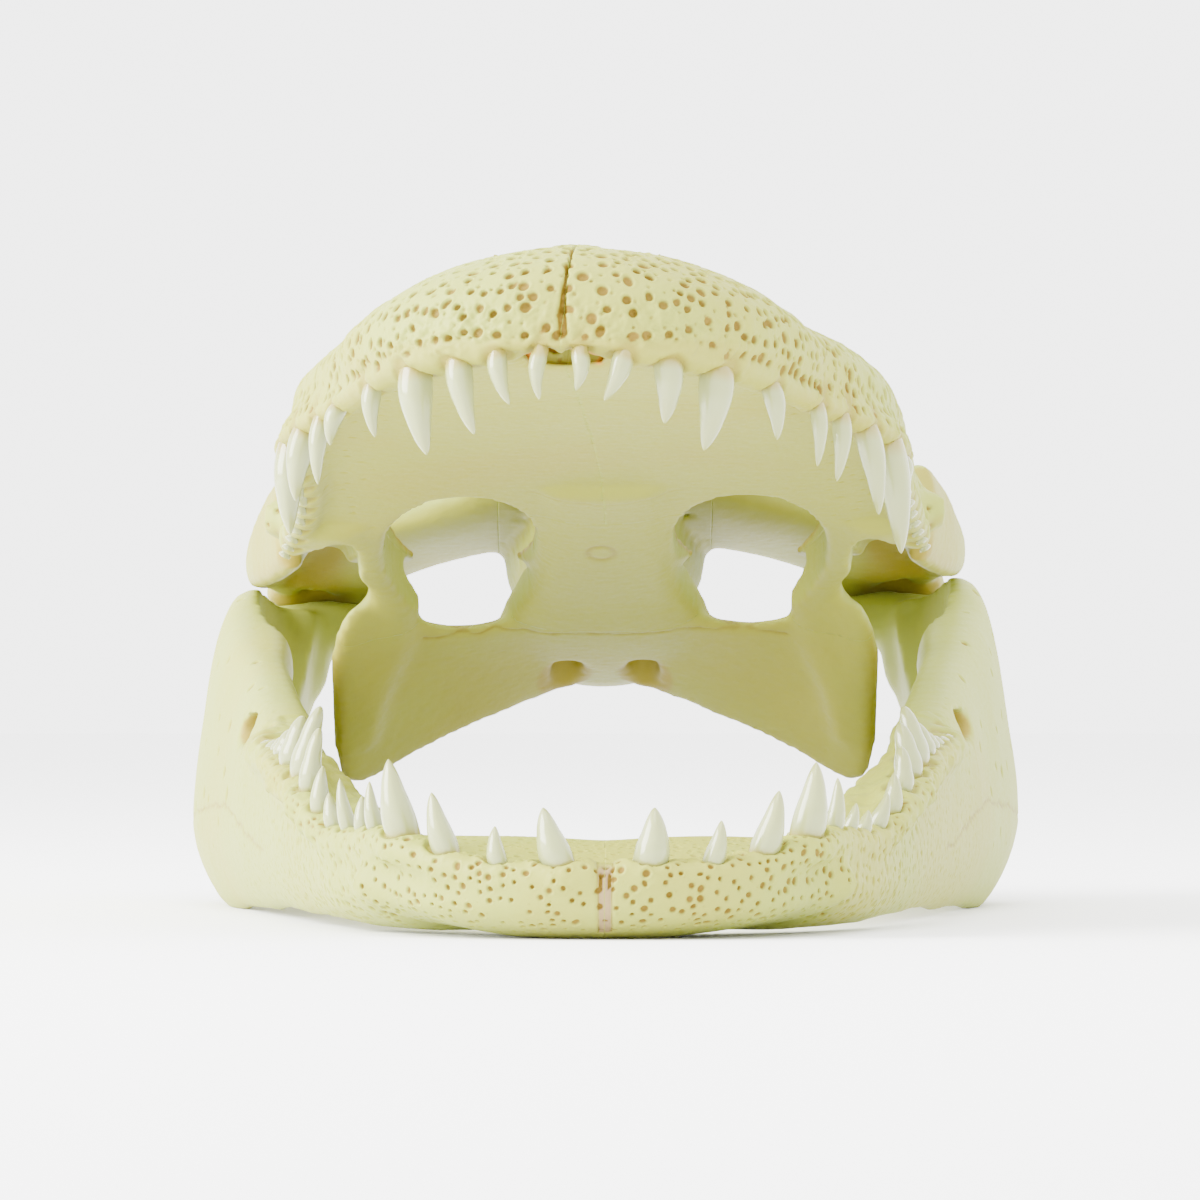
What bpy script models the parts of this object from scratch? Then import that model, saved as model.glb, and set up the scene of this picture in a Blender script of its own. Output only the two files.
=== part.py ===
"""Life-size skull of an adult American alligator, jaws agape, resting on its lower jaw.

The cranium is drawn in its own frame, in millimetres: X across, V back from the tip of the snout, W up
from the plane of the upper tooth sockets. The lower jaw is drawn as it stands: X across, S back from
its tip, Z up from the floor. Each bone is a loft through a few hand-set sections. The bones are fused,
the openings are cut, and the whole is parted again along the main sutures. Right means x above zero.
"""

import math

import bmesh
import bpy
import numpy as np
from mathutils import Matrix, Vector

MM = 0.001
SKULL_LENGTH = 400.0
JAW_LENGTH = 452.0
SUTURE_GAP = 0.3
SMALL = 1e-6

GAPE_PITCH = math.radians(-11.0)
SNOUT_DRIFT = -11.3
DRIFT_END = 190.0
DRIFT_POWER = 1.3
DRIFT_TOP = 36.0
DRIFT_RELIEF = 0.3
BEND_STEP = 12.0
TWIST = 0.018
TWIST_HEIGHT = 88.0
JOINT_V, JOINT_W = 411.0, 26.0
JOINT_S, JOINT_Z = 414.5, 90.5
CONDYLE_RADIUS = 7.0

FUSE_VOXEL = 1.7
CRANIUM_TRIANGLES = 5000
JAW_TRIANGLES = 1300

UPPER_ROOT = 7.0
LOWER_ROOT = 6.0
BACKWARD_LEAN = 0.12
FORWARD_LEAN = 0.05
BOW = 0.9

BONE_COLOUR = (0.80, 0.76, 0.56, 1.0)
BONE_ROUGHNESS = 0.55

# Snout and cheeks: v, half width, height of the widest line, top, palate, squareness of the dome.
SNOUT_SECTIONS = [
    (0.5, 11, 8, 14, 2, 2.1),
    (2, 20, 9, 19, 1, 2.1),
    (6, 30, 10, 24.0, 0.5, 2.0),
    (12, 37.4, 11, 28, 0.5, 1.92),
    (22, 46, 12, 32, 0.5, 1.86),
    (35, 53.3, 12, 34.5, 1, 1.82),
    (50, 59.5, 12, 34.5, 1.5, 1.8),
    (60, 61.5, 12, 33.8, 2, 1.85),
    (72, 66, 12, 34, 2, 1.85),
    (90, 72.4, 12, 35.5, 2, 1.88),
    (110, 77.2, 12, 37.5, 2.5, 1.92),
    (140, 79.3, 12, 40.5, 2.5, 2.0),
    (170, 80.3, 12, 43.5, 2, 2.05),
    (200, 81.8, 12.5, 47, 1, 2.0),
    (225, 83.5, 13, 51, 0, 1.9),
    (245, 85.3, 14, 54, 0, 1.85),
    (270, 88, 15, 56, 4, 1.8),
    (288, 90.5, 16, 57, 8, 1.75),
    (300, 92.5, 17, 57, 9, 1.7),
]

# Upper teeth: x, v, width, length left and right, lean inward of the tip left and right. Five in the
# premaxilla, fourteen in the maxilla.
UPPER_TEETH = [
    (4.8, 4.5, 5.0, 11.2, 9.0, -0.3, 1.0),
    (15.5, 6.5, 6.0, 12.0, 11.0, 2.9, 5.0),
    (25.5, 13, 8.0, 17.8, 15.2, 3.7, 0.8),
    (37.0, 24, 9.4, 20.4, 19.4, 2.6, 3.4),
    (49.0, 41, 5.8, 12.4, 13.2, 0.3, -1.7),
    (59.5, 64, 5.0, 9.4, 15.0, -2.6, 0.0),
    (65.0, 77, 5.6, 16.4, 16.0, -1.4, 1.2),
    (70.6, 91, 7.4, 17.6, 21.6, -2.8, -3.2),
    (75.4, 108, 9.2, 22.4, 28.0, -1.0, -3.5),
    (77.8, 125, 6.6, 13.0, 12.0, 0.6, -0.8),
    (77.8, 139, 5.8, 10.0, 8.0, 0.5, 0.5),
    (77.8, 152, 6.0, 10.0, 8.0, 0.5, 0.5),
    (78.0, 165, 6.6, 11.0, 8.5, 0.6, 0.6),
    (79.0, 178, 7.4, 12.0, 8.5, 0.6, 0.6),
    (80.0, 192, 7.2, 10.5, 8.0, 0.6, 0.6),
    (81.2, 205, 6.4, 8.5, 7.0, 0.5, 0.5),
    (82.6, 217, 5.8, 7.0, 6.0, 0.4, 0.4),
    (84.0, 228, 5.2, 6.0, 5.0, 0.4, 0.4),
    (85.2, 238, 4.8, 5.0, 4.5, 0.3, 0.3),
]

# Lower teeth: x, s, socket height, width, length left and right, lean outward of the tip left and right.
LOWER_TEETH = [
    (10.5, 7, 17.0, 9.6, 15.2, 15.2, 4.6, 1.6),
    (25.5, 10, 17.0, 6.0, 10.6, 12.0, 1.3, 2.9),
    (38.0, 19, 19.5, 8.0, 16.2, 16.6, 4.4, 4.6),
    (49.0, 31, 23.5, 9.2, 20.2, 19.4, 4.2, 2.9),
    (56.0, 45, 24.5, 5.2, 13.6, 14.4, 2.2, 1.5),
    (59.5, 57, 24.0, 4.6, 10.4, 8.4, 0.8, 2.9),
    (63.0, 68, 23.5, 4.8, 15.0, 7.0, 3.2, 2.8),
    (66.8, 80, 24.5, 5.4, 10.3, 10.1, 2.5, 4.2),
    (71.5, 92, 28.5, 5.8, 11.5, 11.0, 1.6, 1.4),
    (75.0, 105, 33.0, 6.4, 13.5, 12.8, 0.6, 0.2),
    (77.6, 119, 36.5, 7.6, 16.0, 15.2, 0.0, -2.4),
    (80.2, 133, 39.5, 8.2, 17.0, 16.4, -1.6, -3.6),
    (82.4, 147, 42.0, 7.8, 14.0, 14.0, -2.6, -3.2),
    (84.2, 160, 43.5, 7.0, 11.5, 11.5, -2.4, -2.6),
    (86.0, 172, 44.5, 6.4, 9.5, 9.5, -2.0, -2.0),
    (87.8, 184, 45.5, 5.8, 8.0, 8.0, -1.6, -1.6),
    (89.4, 195, 46.5, 5.4, 6.5, 6.5, -1.2, -1.2),
    (91.0, 205, 47.5, 5.0, 6.0, 6.0, -1.0, -1.0),
]

# Lower jaw: s, inner x, outer x, underside z, upper edge z. One half, both halves meet at x = 0.
JAW_SECTIONS = [
    (0.8, -13, 13, 7, 16),
    (4, -24, 24, 3.5, 17.5),
    (10, -35, 35, 1.0, 18),
    (20, -46, 46, -0.8, 19.5),
    (32, -54, 54, -0.6, 22),
    (45, -60, 60, 0.3, 24),
    (53, 4, 63, 0.6, 24.5),
    (62, 22, 65.5, 0.8, 24),
    (75, 37, 69.5, 1.0, 24),
    (95, 50, 74, 1.4, 29.5),
    (120, 59, 79.5, 1.8, 36.5),
    (150, 66, 85.5, 2.2, 42),
    (185, 73, 92, 2.2, 46.5),
    (215, 77.5, 98, 1.2, 55),
    (245, 83.5, 103.5, 0.7, 62),
    (275, 89, 109, -0.3, 68.5),
    (305, 92, 114, -1.4, 75.5),
    (335, 93, 117.2, 0, 82),
    (355, 93, 117.8, 4.0, 88),
    (372, 92, 117.5, 10.5, 90.2),
    (388, 91, 114, 18, 88),
    (402, 90, 109, 28, 83),
    (412, 89, 105, 38, 79),
]
JAW_LEAN = 0.15
JAW_TUCK = 0.10
WIDEST_HEIGHT = 20.0
UNDERSIDE_SQUARENESS = 1.95
CREST_SQUARENESS = 3.2
CREST_GAIN = 1.6
CREST_START = 280.0
CREST_RUN = 60.0


FAR = 600.0
HALF_GAP = SUTURE_GAP / 2

# Sutures that part the cranium, in its own frame.
PREMAXILLA_END = 58.0
SNOUT_END = 200.0
MAXILLA_END = 243.0
ROOF_HALF = 30.0
PALATINE_TOP = 20.0
PALATINE_END = 296.0
TABLE_FRONT = 316.0
TABLE_FLOOR = 48.5
BASE_TOP = 8.0
WING_INNER = 42.0
CHEEK_INNER = 82.0
QUADRATE_FRONT = 334.0
CHEEK_END = 372.0
JAW_SUTURE = 238.0


def catmull_rom(rows, step):
    """A smooth curve through the rows of a table, about step apart in the first column."""
    rows = np.array(rows, float)
    out = []
    for i in range(len(rows) - 1):
        before = rows[max(i - 1, 0)]
        here, there = rows[i], rows[i + 1]
        after = rows[min(i + 2, len(rows) - 1)]
        count = max(1, int(math.ceil(np.abs(there - here)[:3].max() / step)))
        for t in np.arange(count) / count:
            out.append(
                0.5
                * (
                    2 * here
                    + (there - before) * t
                    + (2 * before - 5 * here + 4 * there - after) * t * t
                    + (3 * here - before - 3 * there + after) * t ** 3
                )
            )
    out.append(rows[-1])
    return np.array(out)


def power(value, exponent):
    """Keeps the sign: the superellipse needs signed roots of the sine and cosine."""
    return np.sign(value) * np.abs(value) ** exponent


def new_object(name, mesh, collection):
    obj = bpy.data.objects.new(name, mesh)
    collection.objects.link(obj)
    return obj


def loft(rings, collection, name="piece"):
    """A closed skin through rings of equal point count, each end filled by a fan to its centre."""
    rings = np.array(rings, float) * MM
    count, sides = rings.shape[:2]
    points = rings.reshape(-1, 3).tolist()
    faces = []
    for i in range(count - 1):
        for j in range(sides):
            k = (j + 1) % sides
            low, high = i * sides, (i + 1) * sides
            faces.append((low + j, low + k, high + k, high + j))
    for ring in (0, count - 1):
        centre = len(points)
        points.append(rings[ring].mean(axis=0).tolist())
        for j in range(sides):
            faces.append((ring * sides + j, ring * sides + (j + 1) % sides, centre))
    mesh = bpy.data.meshes.new(name)
    mesh.from_pydata(points, [], faces)
    work = bmesh.new()
    work.from_mesh(mesh)
    bmesh.ops.recalc_face_normals(work, faces=work.faces)
    work.to_mesh(mesh)
    work.free()
    return new_object(name, mesh, collection)


def mirrored(obj, collection):
    """A copy of the object's mesh on the other side of x = 0."""
    mesh = obj.data.copy()
    work = bmesh.new()
    work.from_mesh(mesh)
    bmesh.ops.scale(work, vec=(-1, 1, 1), verts=work.verts)
    bmesh.ops.reverse_faces(work, faces=work.faces)
    work.to_mesh(mesh)
    work.free()
    return new_object(obj.name + "_other", mesh, collection)


def both_sides(make, collection):
    first = make(collection)
    return [first, mirrored(first, collection)]


def bar(points, collection, name="bar", sides=20, step=6.0, squareness=2.4, up=(0, 0, 1)):
    """A rounded bar along points of x, y, z, width, height. Width lies level, height follows up."""
    rows = catmull_rom(points, step)
    angles = np.linspace(0, 2 * math.pi, sides, endpoint=False)
    across = power(np.cos(angles), 2 / squareness)
    upward = power(np.sin(angles), 2 / squareness)
    ahead = np.gradient(rows[:, :3], axis=0)
    ahead /= np.linalg.norm(ahead, axis=1)[:, None]
    side = np.cross(ahead, np.array(up, float))
    side /= np.linalg.norm(side, axis=1)[:, None]
    lift = np.cross(side, ahead)
    rings = (
        rows[:, None, :3]
        + side[:, None, :] * (rows[:, 3, None] / 2 * across)[:, :, None]
        + lift[:, None, :] * (rows[:, 4, None] / 2 * upward)[:, :, None]
    )
    return loft(rings, collection, name)


def ball(centre, radii, collection, name="ball"):
    mesh = bpy.data.meshes.new(name)
    work = bmesh.new()
    bmesh.ops.create_uvsphere(work, u_segments=20, v_segments=12, radius=1.0)
    bmesh.ops.scale(work, vec=Vector(radii) * MM, verts=work.verts)
    bmesh.ops.translate(work, vec=Vector(centre) * MM, verts=work.verts)
    work.to_mesh(mesh)
    work.free()
    return new_object(name, mesh, collection)


def block(low, high, collection, name="block"):
    """A box between two corners, in millimetres."""
    low, high = Vector(low) * MM, Vector(high) * MM
    mesh = bpy.data.meshes.new(name)
    work = bmesh.new()
    bmesh.ops.create_cube(work, size=1.0)
    bmesh.ops.scale(work, vec=high - low, verts=work.verts)
    bmesh.ops.translate(work, vec=(high + low) / 2, verts=work.verts)
    work.to_mesh(mesh)
    work.free()
    return new_object(name, mesh, collection)


def superellipse_rings(rows, sides=40, lower_squareness=5.0):
    """Snout sections: a dome above the widest line, and below it a square-cornered palate."""
    angles = np.linspace(0, 2 * math.pi, sides, endpoint=False)
    cos, sin = np.cos(angles), np.sin(angles)
    rings = []
    for v, half, widest, top, palate, squareness in rows:
        upper = sin >= 0
        x = np.where(upper, power(cos, 2 / squareness), power(cos, 2 / lower_squareness)) * half
        rise = (top - widest) * power(np.abs(sin), 2 / squareness)
        fall = (widest - palate) * power(np.abs(sin), 2 / lower_squareness)
        w = widest + np.where(upper, rise, -fall)
        rings.append(np.stack([x, np.full(sides, v), w], axis=1))
    return rings


def snout(collection):
    rows = catmull_rom(SNOUT_SECTIONS, 5.0)
    return [loft(superellipse_rings(rows), collection, "snout")]


def socket_ridge(collection):
    """The raised rim that carries the upper teeth, a bead along the row of sockets."""
    path = [(x - 1.2, v, 2.6, width + 4.0, 9.0) for x, v, width, *_ in UPPER_TEETH[1:]]
    return bar(path, collection, "socket_ridge", sides=14)


def palatines(collection):
    return [
        bar(
            [
                (0, 170, 6, 36, 14),
                (0, 200, 6, 35, 15),
                (0, 240, 4, 36, 17),
                (0, 275, 1, 42, 18),
                (0, 300, -3, 54, 18),
                (0, 325, -6, 60, 16),
                (0, 345, -9, 52, 11),
                (0, 353, -11, 40, 7),
            ],
            collection,
            "palatines",
            squareness=3.0,
        )
    ]


def pterygoid_wing(collection):
    """A plate from the midline out and down, lofted across x: front edge, back edge, thickness."""
    rows = catmull_rom(
        [
            (6, 288, -4, 352, -14, 8),
            (18, 292, -6, 353, -18, 7),
            (30, 298, -8, 353, -23.5, 6),
            (42, 300, -8.5, 353, -29, 5.5),
            (54, 294, -6.5, 352, -35.5, 6),
            (63, 284, -4.5, 351, -41, 7),
            (69, 284, -6, 349, -44, 8),
            (73, 292, -10, 345, -43, 8),
            (75.5, 304, -16, 338, -35, 5),
        ],
        4.0,
    )
    rings = []
    sides = 20
    angles = np.linspace(0, 2 * math.pi, sides, endpoint=False)
    for x, front_v, front_w, back_v, back_w, thick in rows:
        front, back = np.array([front_v, front_w]), np.array([back_v, back_w])
        along = back - front
        length = np.linalg.norm(along)
        along /= length
        normal = np.array([-along[1], along[0]])
        middle = (front + back) / 2
        reach = power(np.cos(angles), 2 / 3.0) * length / 2
        depth = power(np.sin(angles), 2 / 2.4) * thick / 2
        sag = 3.0 * (1 - (2 * reach / length) ** 2)
        points = middle + along * reach[:, None] + normal * (depth + sag)[:, None]
        rings.append(np.column_stack([np.full(sides, x), points]))
    return loft(rings, collection, "pterygoid_wing")


def ectopterygoid(collection):
    return bar(
        [
            (74, 214, 3, 22, 9),
            (70, 235, 2, 19, 9),
            (64, 255, 1, 15, 9),
            (58.5, 274, 0, 14, 10),
            (58, 290, -4, 15, 10),
            (62, 306, -13, 17, 9),
            (67, 320, -23, 15, 9),
            (69, 336, -34, 11, 8),
        ],
        collection,
        "ectopterygoid",
    )


def ectopterygoid_brace(collection):
    return bar(
        [(64, 240, 2, 18, 8), (76, 240, 6, 18, 9), (88, 246, 11, 18, 12)],
        collection,
        "ectopterygoid_brace",
    )


def jugal_bar(collection):
    return bar(
        [
            (85, 280, 18, 11, 28),
            (89.5, 300, 18.5, 10, 27),
            (94, 320, 18, 9, 21),
            (96.5, 340, 19.5, 8.5, 16),
            (97.5, 358, 22.5, 8.5, 15),
            (97, 376, 27, 9, 17),
            (94.5, 392, 31, 11, 19),
            (90, 404, 31, 14, 18),
        ],
        collection,
        "jugal_bar",
    )


def quadrate(collection):
    """A broad ramp from the braincase out and back to the jaw joint."""
    return bar(
        [
            (14, 350, 43, 52, 24),
            (34, 364, 39.5, 48, 22),
            (54, 380, 36, 42, 17),
            (70, 394, 32, 38, 14),
            (80, 405, 28, 34, 13),
        ],
        collection,
        "quadrate",
        squareness=3.0,
    )


def quadrate_shelf(collection):
    """Joins the quadrate's outer edge to the bar below the cheek opening."""
    return bar(
        [(62, 364, 39, 22, 10), (78, 376, 35, 26, 10), (91, 386, 32, 26, 14)],
        collection,
        "quadrate_shelf",
    )


def condyle(collection):
    return bar(
        [
            (62.5, 410, JOINT_W, 10, 10),
            (67, JOINT_V, JOINT_W, 2 * CONDYLE_RADIUS, 2 * CONDYLE_RADIUS),
            (80, JOINT_V, JOINT_W + 1, 11.6, 11.6),
            (91, JOINT_V, JOINT_W, 2 * CONDYLE_RADIUS, 2 * CONDYLE_RADIUS),
            (96.5, 410, JOINT_W + 1, 9, 9),
        ],
        collection,
        "condyle",
        squareness=2.0,
        step=3.0,
    )


def postorbital_bar(collection):
    return bar(
        [(43, 321, 58, 16, 14), (55, 316, 48, 9, 10), (68, 309, 36, 8, 9), (82, 301, 24, 12, 12)],
        collection,
        "postorbital_bar",
        up=(0, 1, 0.3),
    )


def frontal(collection):
    return [
        bar(
            [
                (0, 205, 44, 60, 9),
                (0, 235, 49, 46, 10),
                (0, 255, 53, 31, 10),
                (0, 275, 54.5, 28, 10),
                (0, 295, 56, 32, 11),
                (0, 312, 58.5, 52, 12),
                (0, 325, 59.5, 80, 12),
            ],
            collection,
            "frontal",
            squareness=3.4,
        )
    ]


def orbit_rim(collection):
    """The upturned inner edge of the eye socket."""
    return bar(
        [
            (36, 240, 53, 7, 6),
            (22, 250, 57, 7, 7),
            (15.5, 266, 59.5, 6.5, 7),
            (15.5, 284, 60.5, 6.5, 7),
            (20, 300, 61.5, 7, 7),
            (32, 311, 62, 8, 7),
            (44, 318, 60.5, 9, 8),
        ],
        collection,
        "orbit_rim",
    )


def prefrontal_pillar(collection):
    return bar(
        [(26, 243, 50, 12, 12), (19, 243, 32, 7, 9), (15, 242, 10, 9, 12)],
        collection,
        "prefrontal_pillar",
        up=(0, 1, 0),
    )


def skull_table(collection):
    return [
        bar(
            [
                (0, 311, 58, 66, 9),
                (0, 320, 58.5, 84, 13),
                (0, 340, 59, 92, 14),
                (0, 362, 59.5, 98, 14),
                (0, 382, 59.5, 103, 14),
                (0, 392, 59, 104, 12),
                (0, 396, 58.5, 98, 8),
            ],
            collection,
            "skull_table",
            squareness=7.0,
            sides=36,
        )
    ]


def squamosal_horn(collection):
    return bar(
        [(44, 376, 58, 16, 13), (48, 390, 56.5, 14, 12), (51, 402, 53, 9, 8)],
        collection,
        "squamosal_horn",
    )


def braincase(collection):
    walls = bar(
        [
            (0, 302, 47, 16, 22),
            (0, 318, 43, 24, 32),
            (0, 340, 36, 38, 46),
            (0, 362, 32, 50, 50),
            (0, 380, 31, 58, 50),
            (0, 390, 32, 54, 46),
        ],
        collection,
        "braincase",
        squareness=2.8,
    )
    occiput = bar(
        [(-47, 386, 44, 15, 18), (-25, 386, 43, 16, 26), (0, 386, 42, 16, 34),
         (25, 386, 43, 16, 26), (47, 386, 44, 15, 18)],
        collection,
        "occiput",
        squareness=3.0,
    )
    base = bar(
        [(0, 391, 24, 34, 14), (0, 386, 12, 38, 16), (0, 374, 0, 30, 22), (0, 352, -9, 30, 12)],
        collection,
        "base",
        squareness=2.8,
    )
    knob = ball((0, 397, 30), (10, 10, 8.5), collection, "condyle_knob")
    return [walls, occiput, base, knob]


def cranium_cutters(collection):
    """Every opening of the cranium, as closed solids."""
    chamber = bar(
        [
            (0, 180, 22, 60, 8),
            (0, 190, 22, 104, 20),
            (0, 215, 24, 130, 32),
            (0, 240, 25, 138, 38),
            (0, 265, 26, 142, 40),
            (0, 290, 26, 148, 42),
            (0, 315, 26, 152, 44),
        ],
        collection,
        "chamber",
        squareness=2.3,
        sides=36,
    )
    made = [chamber]
    made += both_sides(palate_window, collection)
    made += both_sides(eye_socket, collection)
    made += both_sides(jaw_muscle_opening, collection)
    made += both_sides(table_window, collection)
    made += both_sides(nostril, collection)
    made += both_sides(inner_nostril, collection)
    made.append(
        bar([(0, 9, -6, 12, 6), (0, 14, 2, 20, 14), (0, 22, 9, 15, 12)], collection, "incisive", step=3)
    )
    made.append(
        bar([(0, 402, 44.5, 17, 11), (0, 380, 44.5, 14, 10), (0, 350, 44, 10, 9)], collection, "magnum")
    )
    return made


def palate_window(collection):
    """The long oval between the palatine bar and the cheek, cut up into the chamber."""
    sides = 32
    outline = []
    for angle in np.linspace(0, 2 * math.pi, sides, endpoint=False):
        along, across = math.cos(angle), math.sin(angle)
        v = 240 + 58 * along
        x = 39 + 20.5 * power(across, 0.85) + 2.5 * along - 5 * max(0.0, along) ** 2 * across
        outline.append((float(x), v))
    low = [(x, v, -30) for x, v in outline]
    high = [(x, v, 18) for x, v in outline]
    return loft([low, high], collection, "palate_window")


def jaw_muscle_opening(collection):
    """The opening behind the tooth row, between cheek and palate."""
    outline = []
    for angle in np.linspace(0, 2 * math.pi, 28, endpoint=False):
        along, across = math.cos(angle), math.sin(angle)
        outline.append((74.5 + 7.5 * across + 3.5 * along, 267 + 45 * along))
    low = [(x, v, -4) for x, v in outline]
    high = [(x, v, 14) for x, v in outline]
    return loft([low, high], collection, "jaw_muscle_opening")


def eye_socket(collection):
    sides = 32
    outline = []
    for angle in np.linspace(0, 2 * math.pi, sides, endpoint=False):
        along, across = math.cos(angle), math.sin(angle)
        v = 279 + 31 * along
        x = 37.5 + 23.5 * power(across, 0.9) + 2.5 * along
        outline.append((float(x), v))
    low = [(x + 1, v - 2, 22) for x, v in outline]
    high = [(x, v, 90) for x, v in outline]
    return loft([low, high], collection, "eye_socket")


def table_window(collection):
    return bar(
        [(22, 353, 75, 19, 25), (22, 353, 55, 19, 25), (30, 350, 34, 20, 26)],
        collection,
        "table_window",
        up=(0, 1, 0),
        squareness=2.2,
    )


def nostril(collection):
    return bar(
        [(11, 37, 50, 17, 30), (11, 38, 30, 17, 29), (9, 46, 19, 13, 22)],
        collection,
        "nostril",
        up=(0, 1, 0),
        squareness=2.2,
    )


def inner_nostril(collection):
    return bar(
        [(10.8, 347, -27, 9, 12), (10.8, 338, -14, 9, 12), (9.5, 326, -8, 6, 8)],
        collection,
        "inner_nostril",
        up=(0, 1, 0.2),
        squareness=2.2,
    )


def jaw_half(collection):
    """The right half of the lower jaw, from its tip to the joint."""
    sides = 28
    angles = np.linspace(0, 2 * math.pi, sides, endpoint=False)
    rings = []
    for s, inner, outer, under, top in catmull_rom(JAW_SECTIONS, 6.0):
        crest = CREST_SQUARENESS + CREST_GAIN * min(1.0, max(0.0, (s - CREST_START) / CREST_RUN))
        roundness = np.where(np.sin(angles) < 0, 2 / UNDERSIDE_SQUARENESS, 2 / crest)
        across = power(np.cos(angles), roundness)
        upward = power(np.sin(angles), roundness)
        x = (inner + outer) / 2 + (outer - inner) / 2 * across
        z = (under + top) / 2 + (top - under) / 2 * upward
        above, below = np.maximum(z - WIDEST_HEIGHT, 0), np.maximum(WIDEST_HEIGHT - z, 0)
        x = x - min(1.0, max(0.0, (s - 120) / 150)) * (JAW_LEAN * above + JAW_TUCK * below)
        rings.append(np.stack([x, np.full(sides, s), z], axis=1))
    return [loft(rings, collection, "jaw_half")]


def articular(collection):
    """The cross-wise block that carries the joint, with the hook behind it."""
    block_part = bar(
        [(59, 413, 79, 19, 11), (71, 413, 79, 25, 14), (83, 412, 78, 28, 19), (94, 408, 70, 29, 36),
         (102, 402, 66, 20, 38)],
        collection,
        "articular",
        squareness=2.3,
    )
    hook = bar(
        [(100, 372, 38, 14, 44), (98, 392, 46, 17, 44), (96, 410, 57, 19, 38), (92, 426, 69, 22, 28),
         (87, 440, 79, 19, 18), (83, JAW_LENGTH - 2, 86, 10, 9)],
        collection,
        "hook",
    )
    flange = bar(
        [(72, 410, 79, 20, 11), (76, 426, 80, 24, 9), (82, 442, 84, 16, 8)],
        collection,
        "flange",
    )
    return [block_part, hook, flange]


def lower_socket_ridge(collection):
    """The bone that holds the teeth, with a broad inner shelf behind the tenth of them."""
    path = [(2, 6, 15.5, 14, 9)]
    for x, s, z, width, *_ in LOWER_TEETH:
        shelf = min(1.4, max(0.0, (s - 105) / 60))
        path.append((x - 2.5 * shelf, s, z - 1.5 - shelf, width + 6 + 5 * shelf, 9 + 2 * shelf))
    return [bar(path, collection, "lower_socket_ridge", sides=14)]


def jaw_cutters(collection):
    """Muscle trough, the window in the outer wall, and the groove that the upper jaw turns in."""
    trough = bar(
        [(90, 304, 52, 5, 20), (92.5, 330, 48, 8, 40), (94, 355, 50, 8, 44), (93, 378, 58, 7, 36)],
        collection,
        "trough",
        squareness=3.0,
    )
    inner_edge = bar(
        [(77, 286, 84, 10, 20), (77, 300, 90, 20, 44), (77, 320, 96, 30, 70), (79, 345, 100, 34, 90),
         (80, 372, 102, 34, 94), (78, 396, 102, 30, 44)],
        collection,
        "inner_edge",
        squareness=3.4,
    )
    window = bar(
        [(82, 226, 49, 28, 12), (98, 227, 49, 32, 13), (122, 229, 49, 36, 15)],
        collection,
        "window",
    )
    groove = bar(
        [(54, JOINT_S, JOINT_Z, 17, 16), (67, JOINT_S, JOINT_Z, 17, 16), (80, JOINT_S, JOINT_Z + 1, 15, 13.6),
         (91, JOINT_S, JOINT_Z, 17, 16), (100, JOINT_S, JOINT_Z + 1, 15, 13)],
        collection,
        "groove",
        squareness=2.0,
        step=3.0,
    )
    over_groove = bar(
        [(54, JOINT_S, JOINT_Z + 16, 18, 32), (99, JOINT_S, JOINT_Z + 16, 18, 32)],
        collection,
        "over_groove",
        squareness=4.0,
    )
    return [trough, inner_edge, window, groove, over_groove]


def tooth(base, tip, width, collection, sides=6, curl=(0.0, 0.0, 0.0), name="tooth"):
    """A slender cone from its socket to its tip, bowed by curl half way along."""
    base, tip, curl = np.array(base, float), np.array(tip, float), np.array(curl, float)
    ahead = tip - base
    ahead /= np.linalg.norm(ahead)
    side = np.cross(ahead, (0, 1, 0))
    side /= np.linalg.norm(side)
    lift = np.cross(side, ahead)
    angles = np.linspace(0, 2 * math.pi, sides, endpoint=False)
    rings = []
    for share, girth in ((0, 0.98), (0.35, 1.0), (0.75, 0.6), (1.0, 0.08)):
        centre = base + (tip - base) * share + curl * 4 * share * (1 - share)
        radius = width / 2 * girth
        rings.append(
            centre
            + radius * (side * np.cos(angles)[:, None] + lift * np.sin(angles)[:, None])
        )
    return loft(rings, collection, name)


def upper_tooth(index, hand, collection):
    x, v, width, left_length, right_length, left_lean, right_lean = UPPER_TEETH[index]
    length, lean = (right_length, right_lean) if hand > 0 else (left_length, left_lean)
    base = (hand * x, v, UPPER_ROOT)
    tip = (hand * (x - lean), v + BACKWARD_LEAN * length, -length)
    return tooth(base, tip, width, collection, curl=(hand * BOW, -BOW, 0), name="upper_tooth")


def lower_tooth(index, hand, collection):
    x, s, z, width, left_length, right_length, left_lean, right_lean = LOWER_TEETH[index]
    length, lean = (right_length, right_lean) if hand > 0 else (left_length, left_lean)
    base = (hand * (x - lean * LOWER_ROOT / length), s, z - LOWER_ROOT)
    tip = (hand * (x + lean), s - FORWARD_LEAN * length, z + length)
    return tooth(base, tip, width, collection, curl=(hand * BOW, -BOW, 0), name="lower_tooth")


def evaluated_mesh(obj):
    graph = bpy.context.evaluated_depsgraph_get()
    graph.update()
    return bpy.data.meshes.new_from_object(obj.evaluated_get(graph))


def apply_modifiers(obj):
    mesh = evaluated_mesh(obj)
    old = obj.data
    obj.modifiers.clear()
    obj.data = mesh
    bpy.data.meshes.remove(old)


def joined(objects, name, collection):
    """One object that holds every mesh of the list."""
    work = bmesh.new()
    for obj in objects:
        work.from_mesh(obj.data)
    mesh = bpy.data.meshes.new(name)
    work.to_mesh(mesh)
    work.free()
    for obj in objects:
        bpy.data.objects.remove(obj)
    return new_object(name, mesh, collection)


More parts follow.
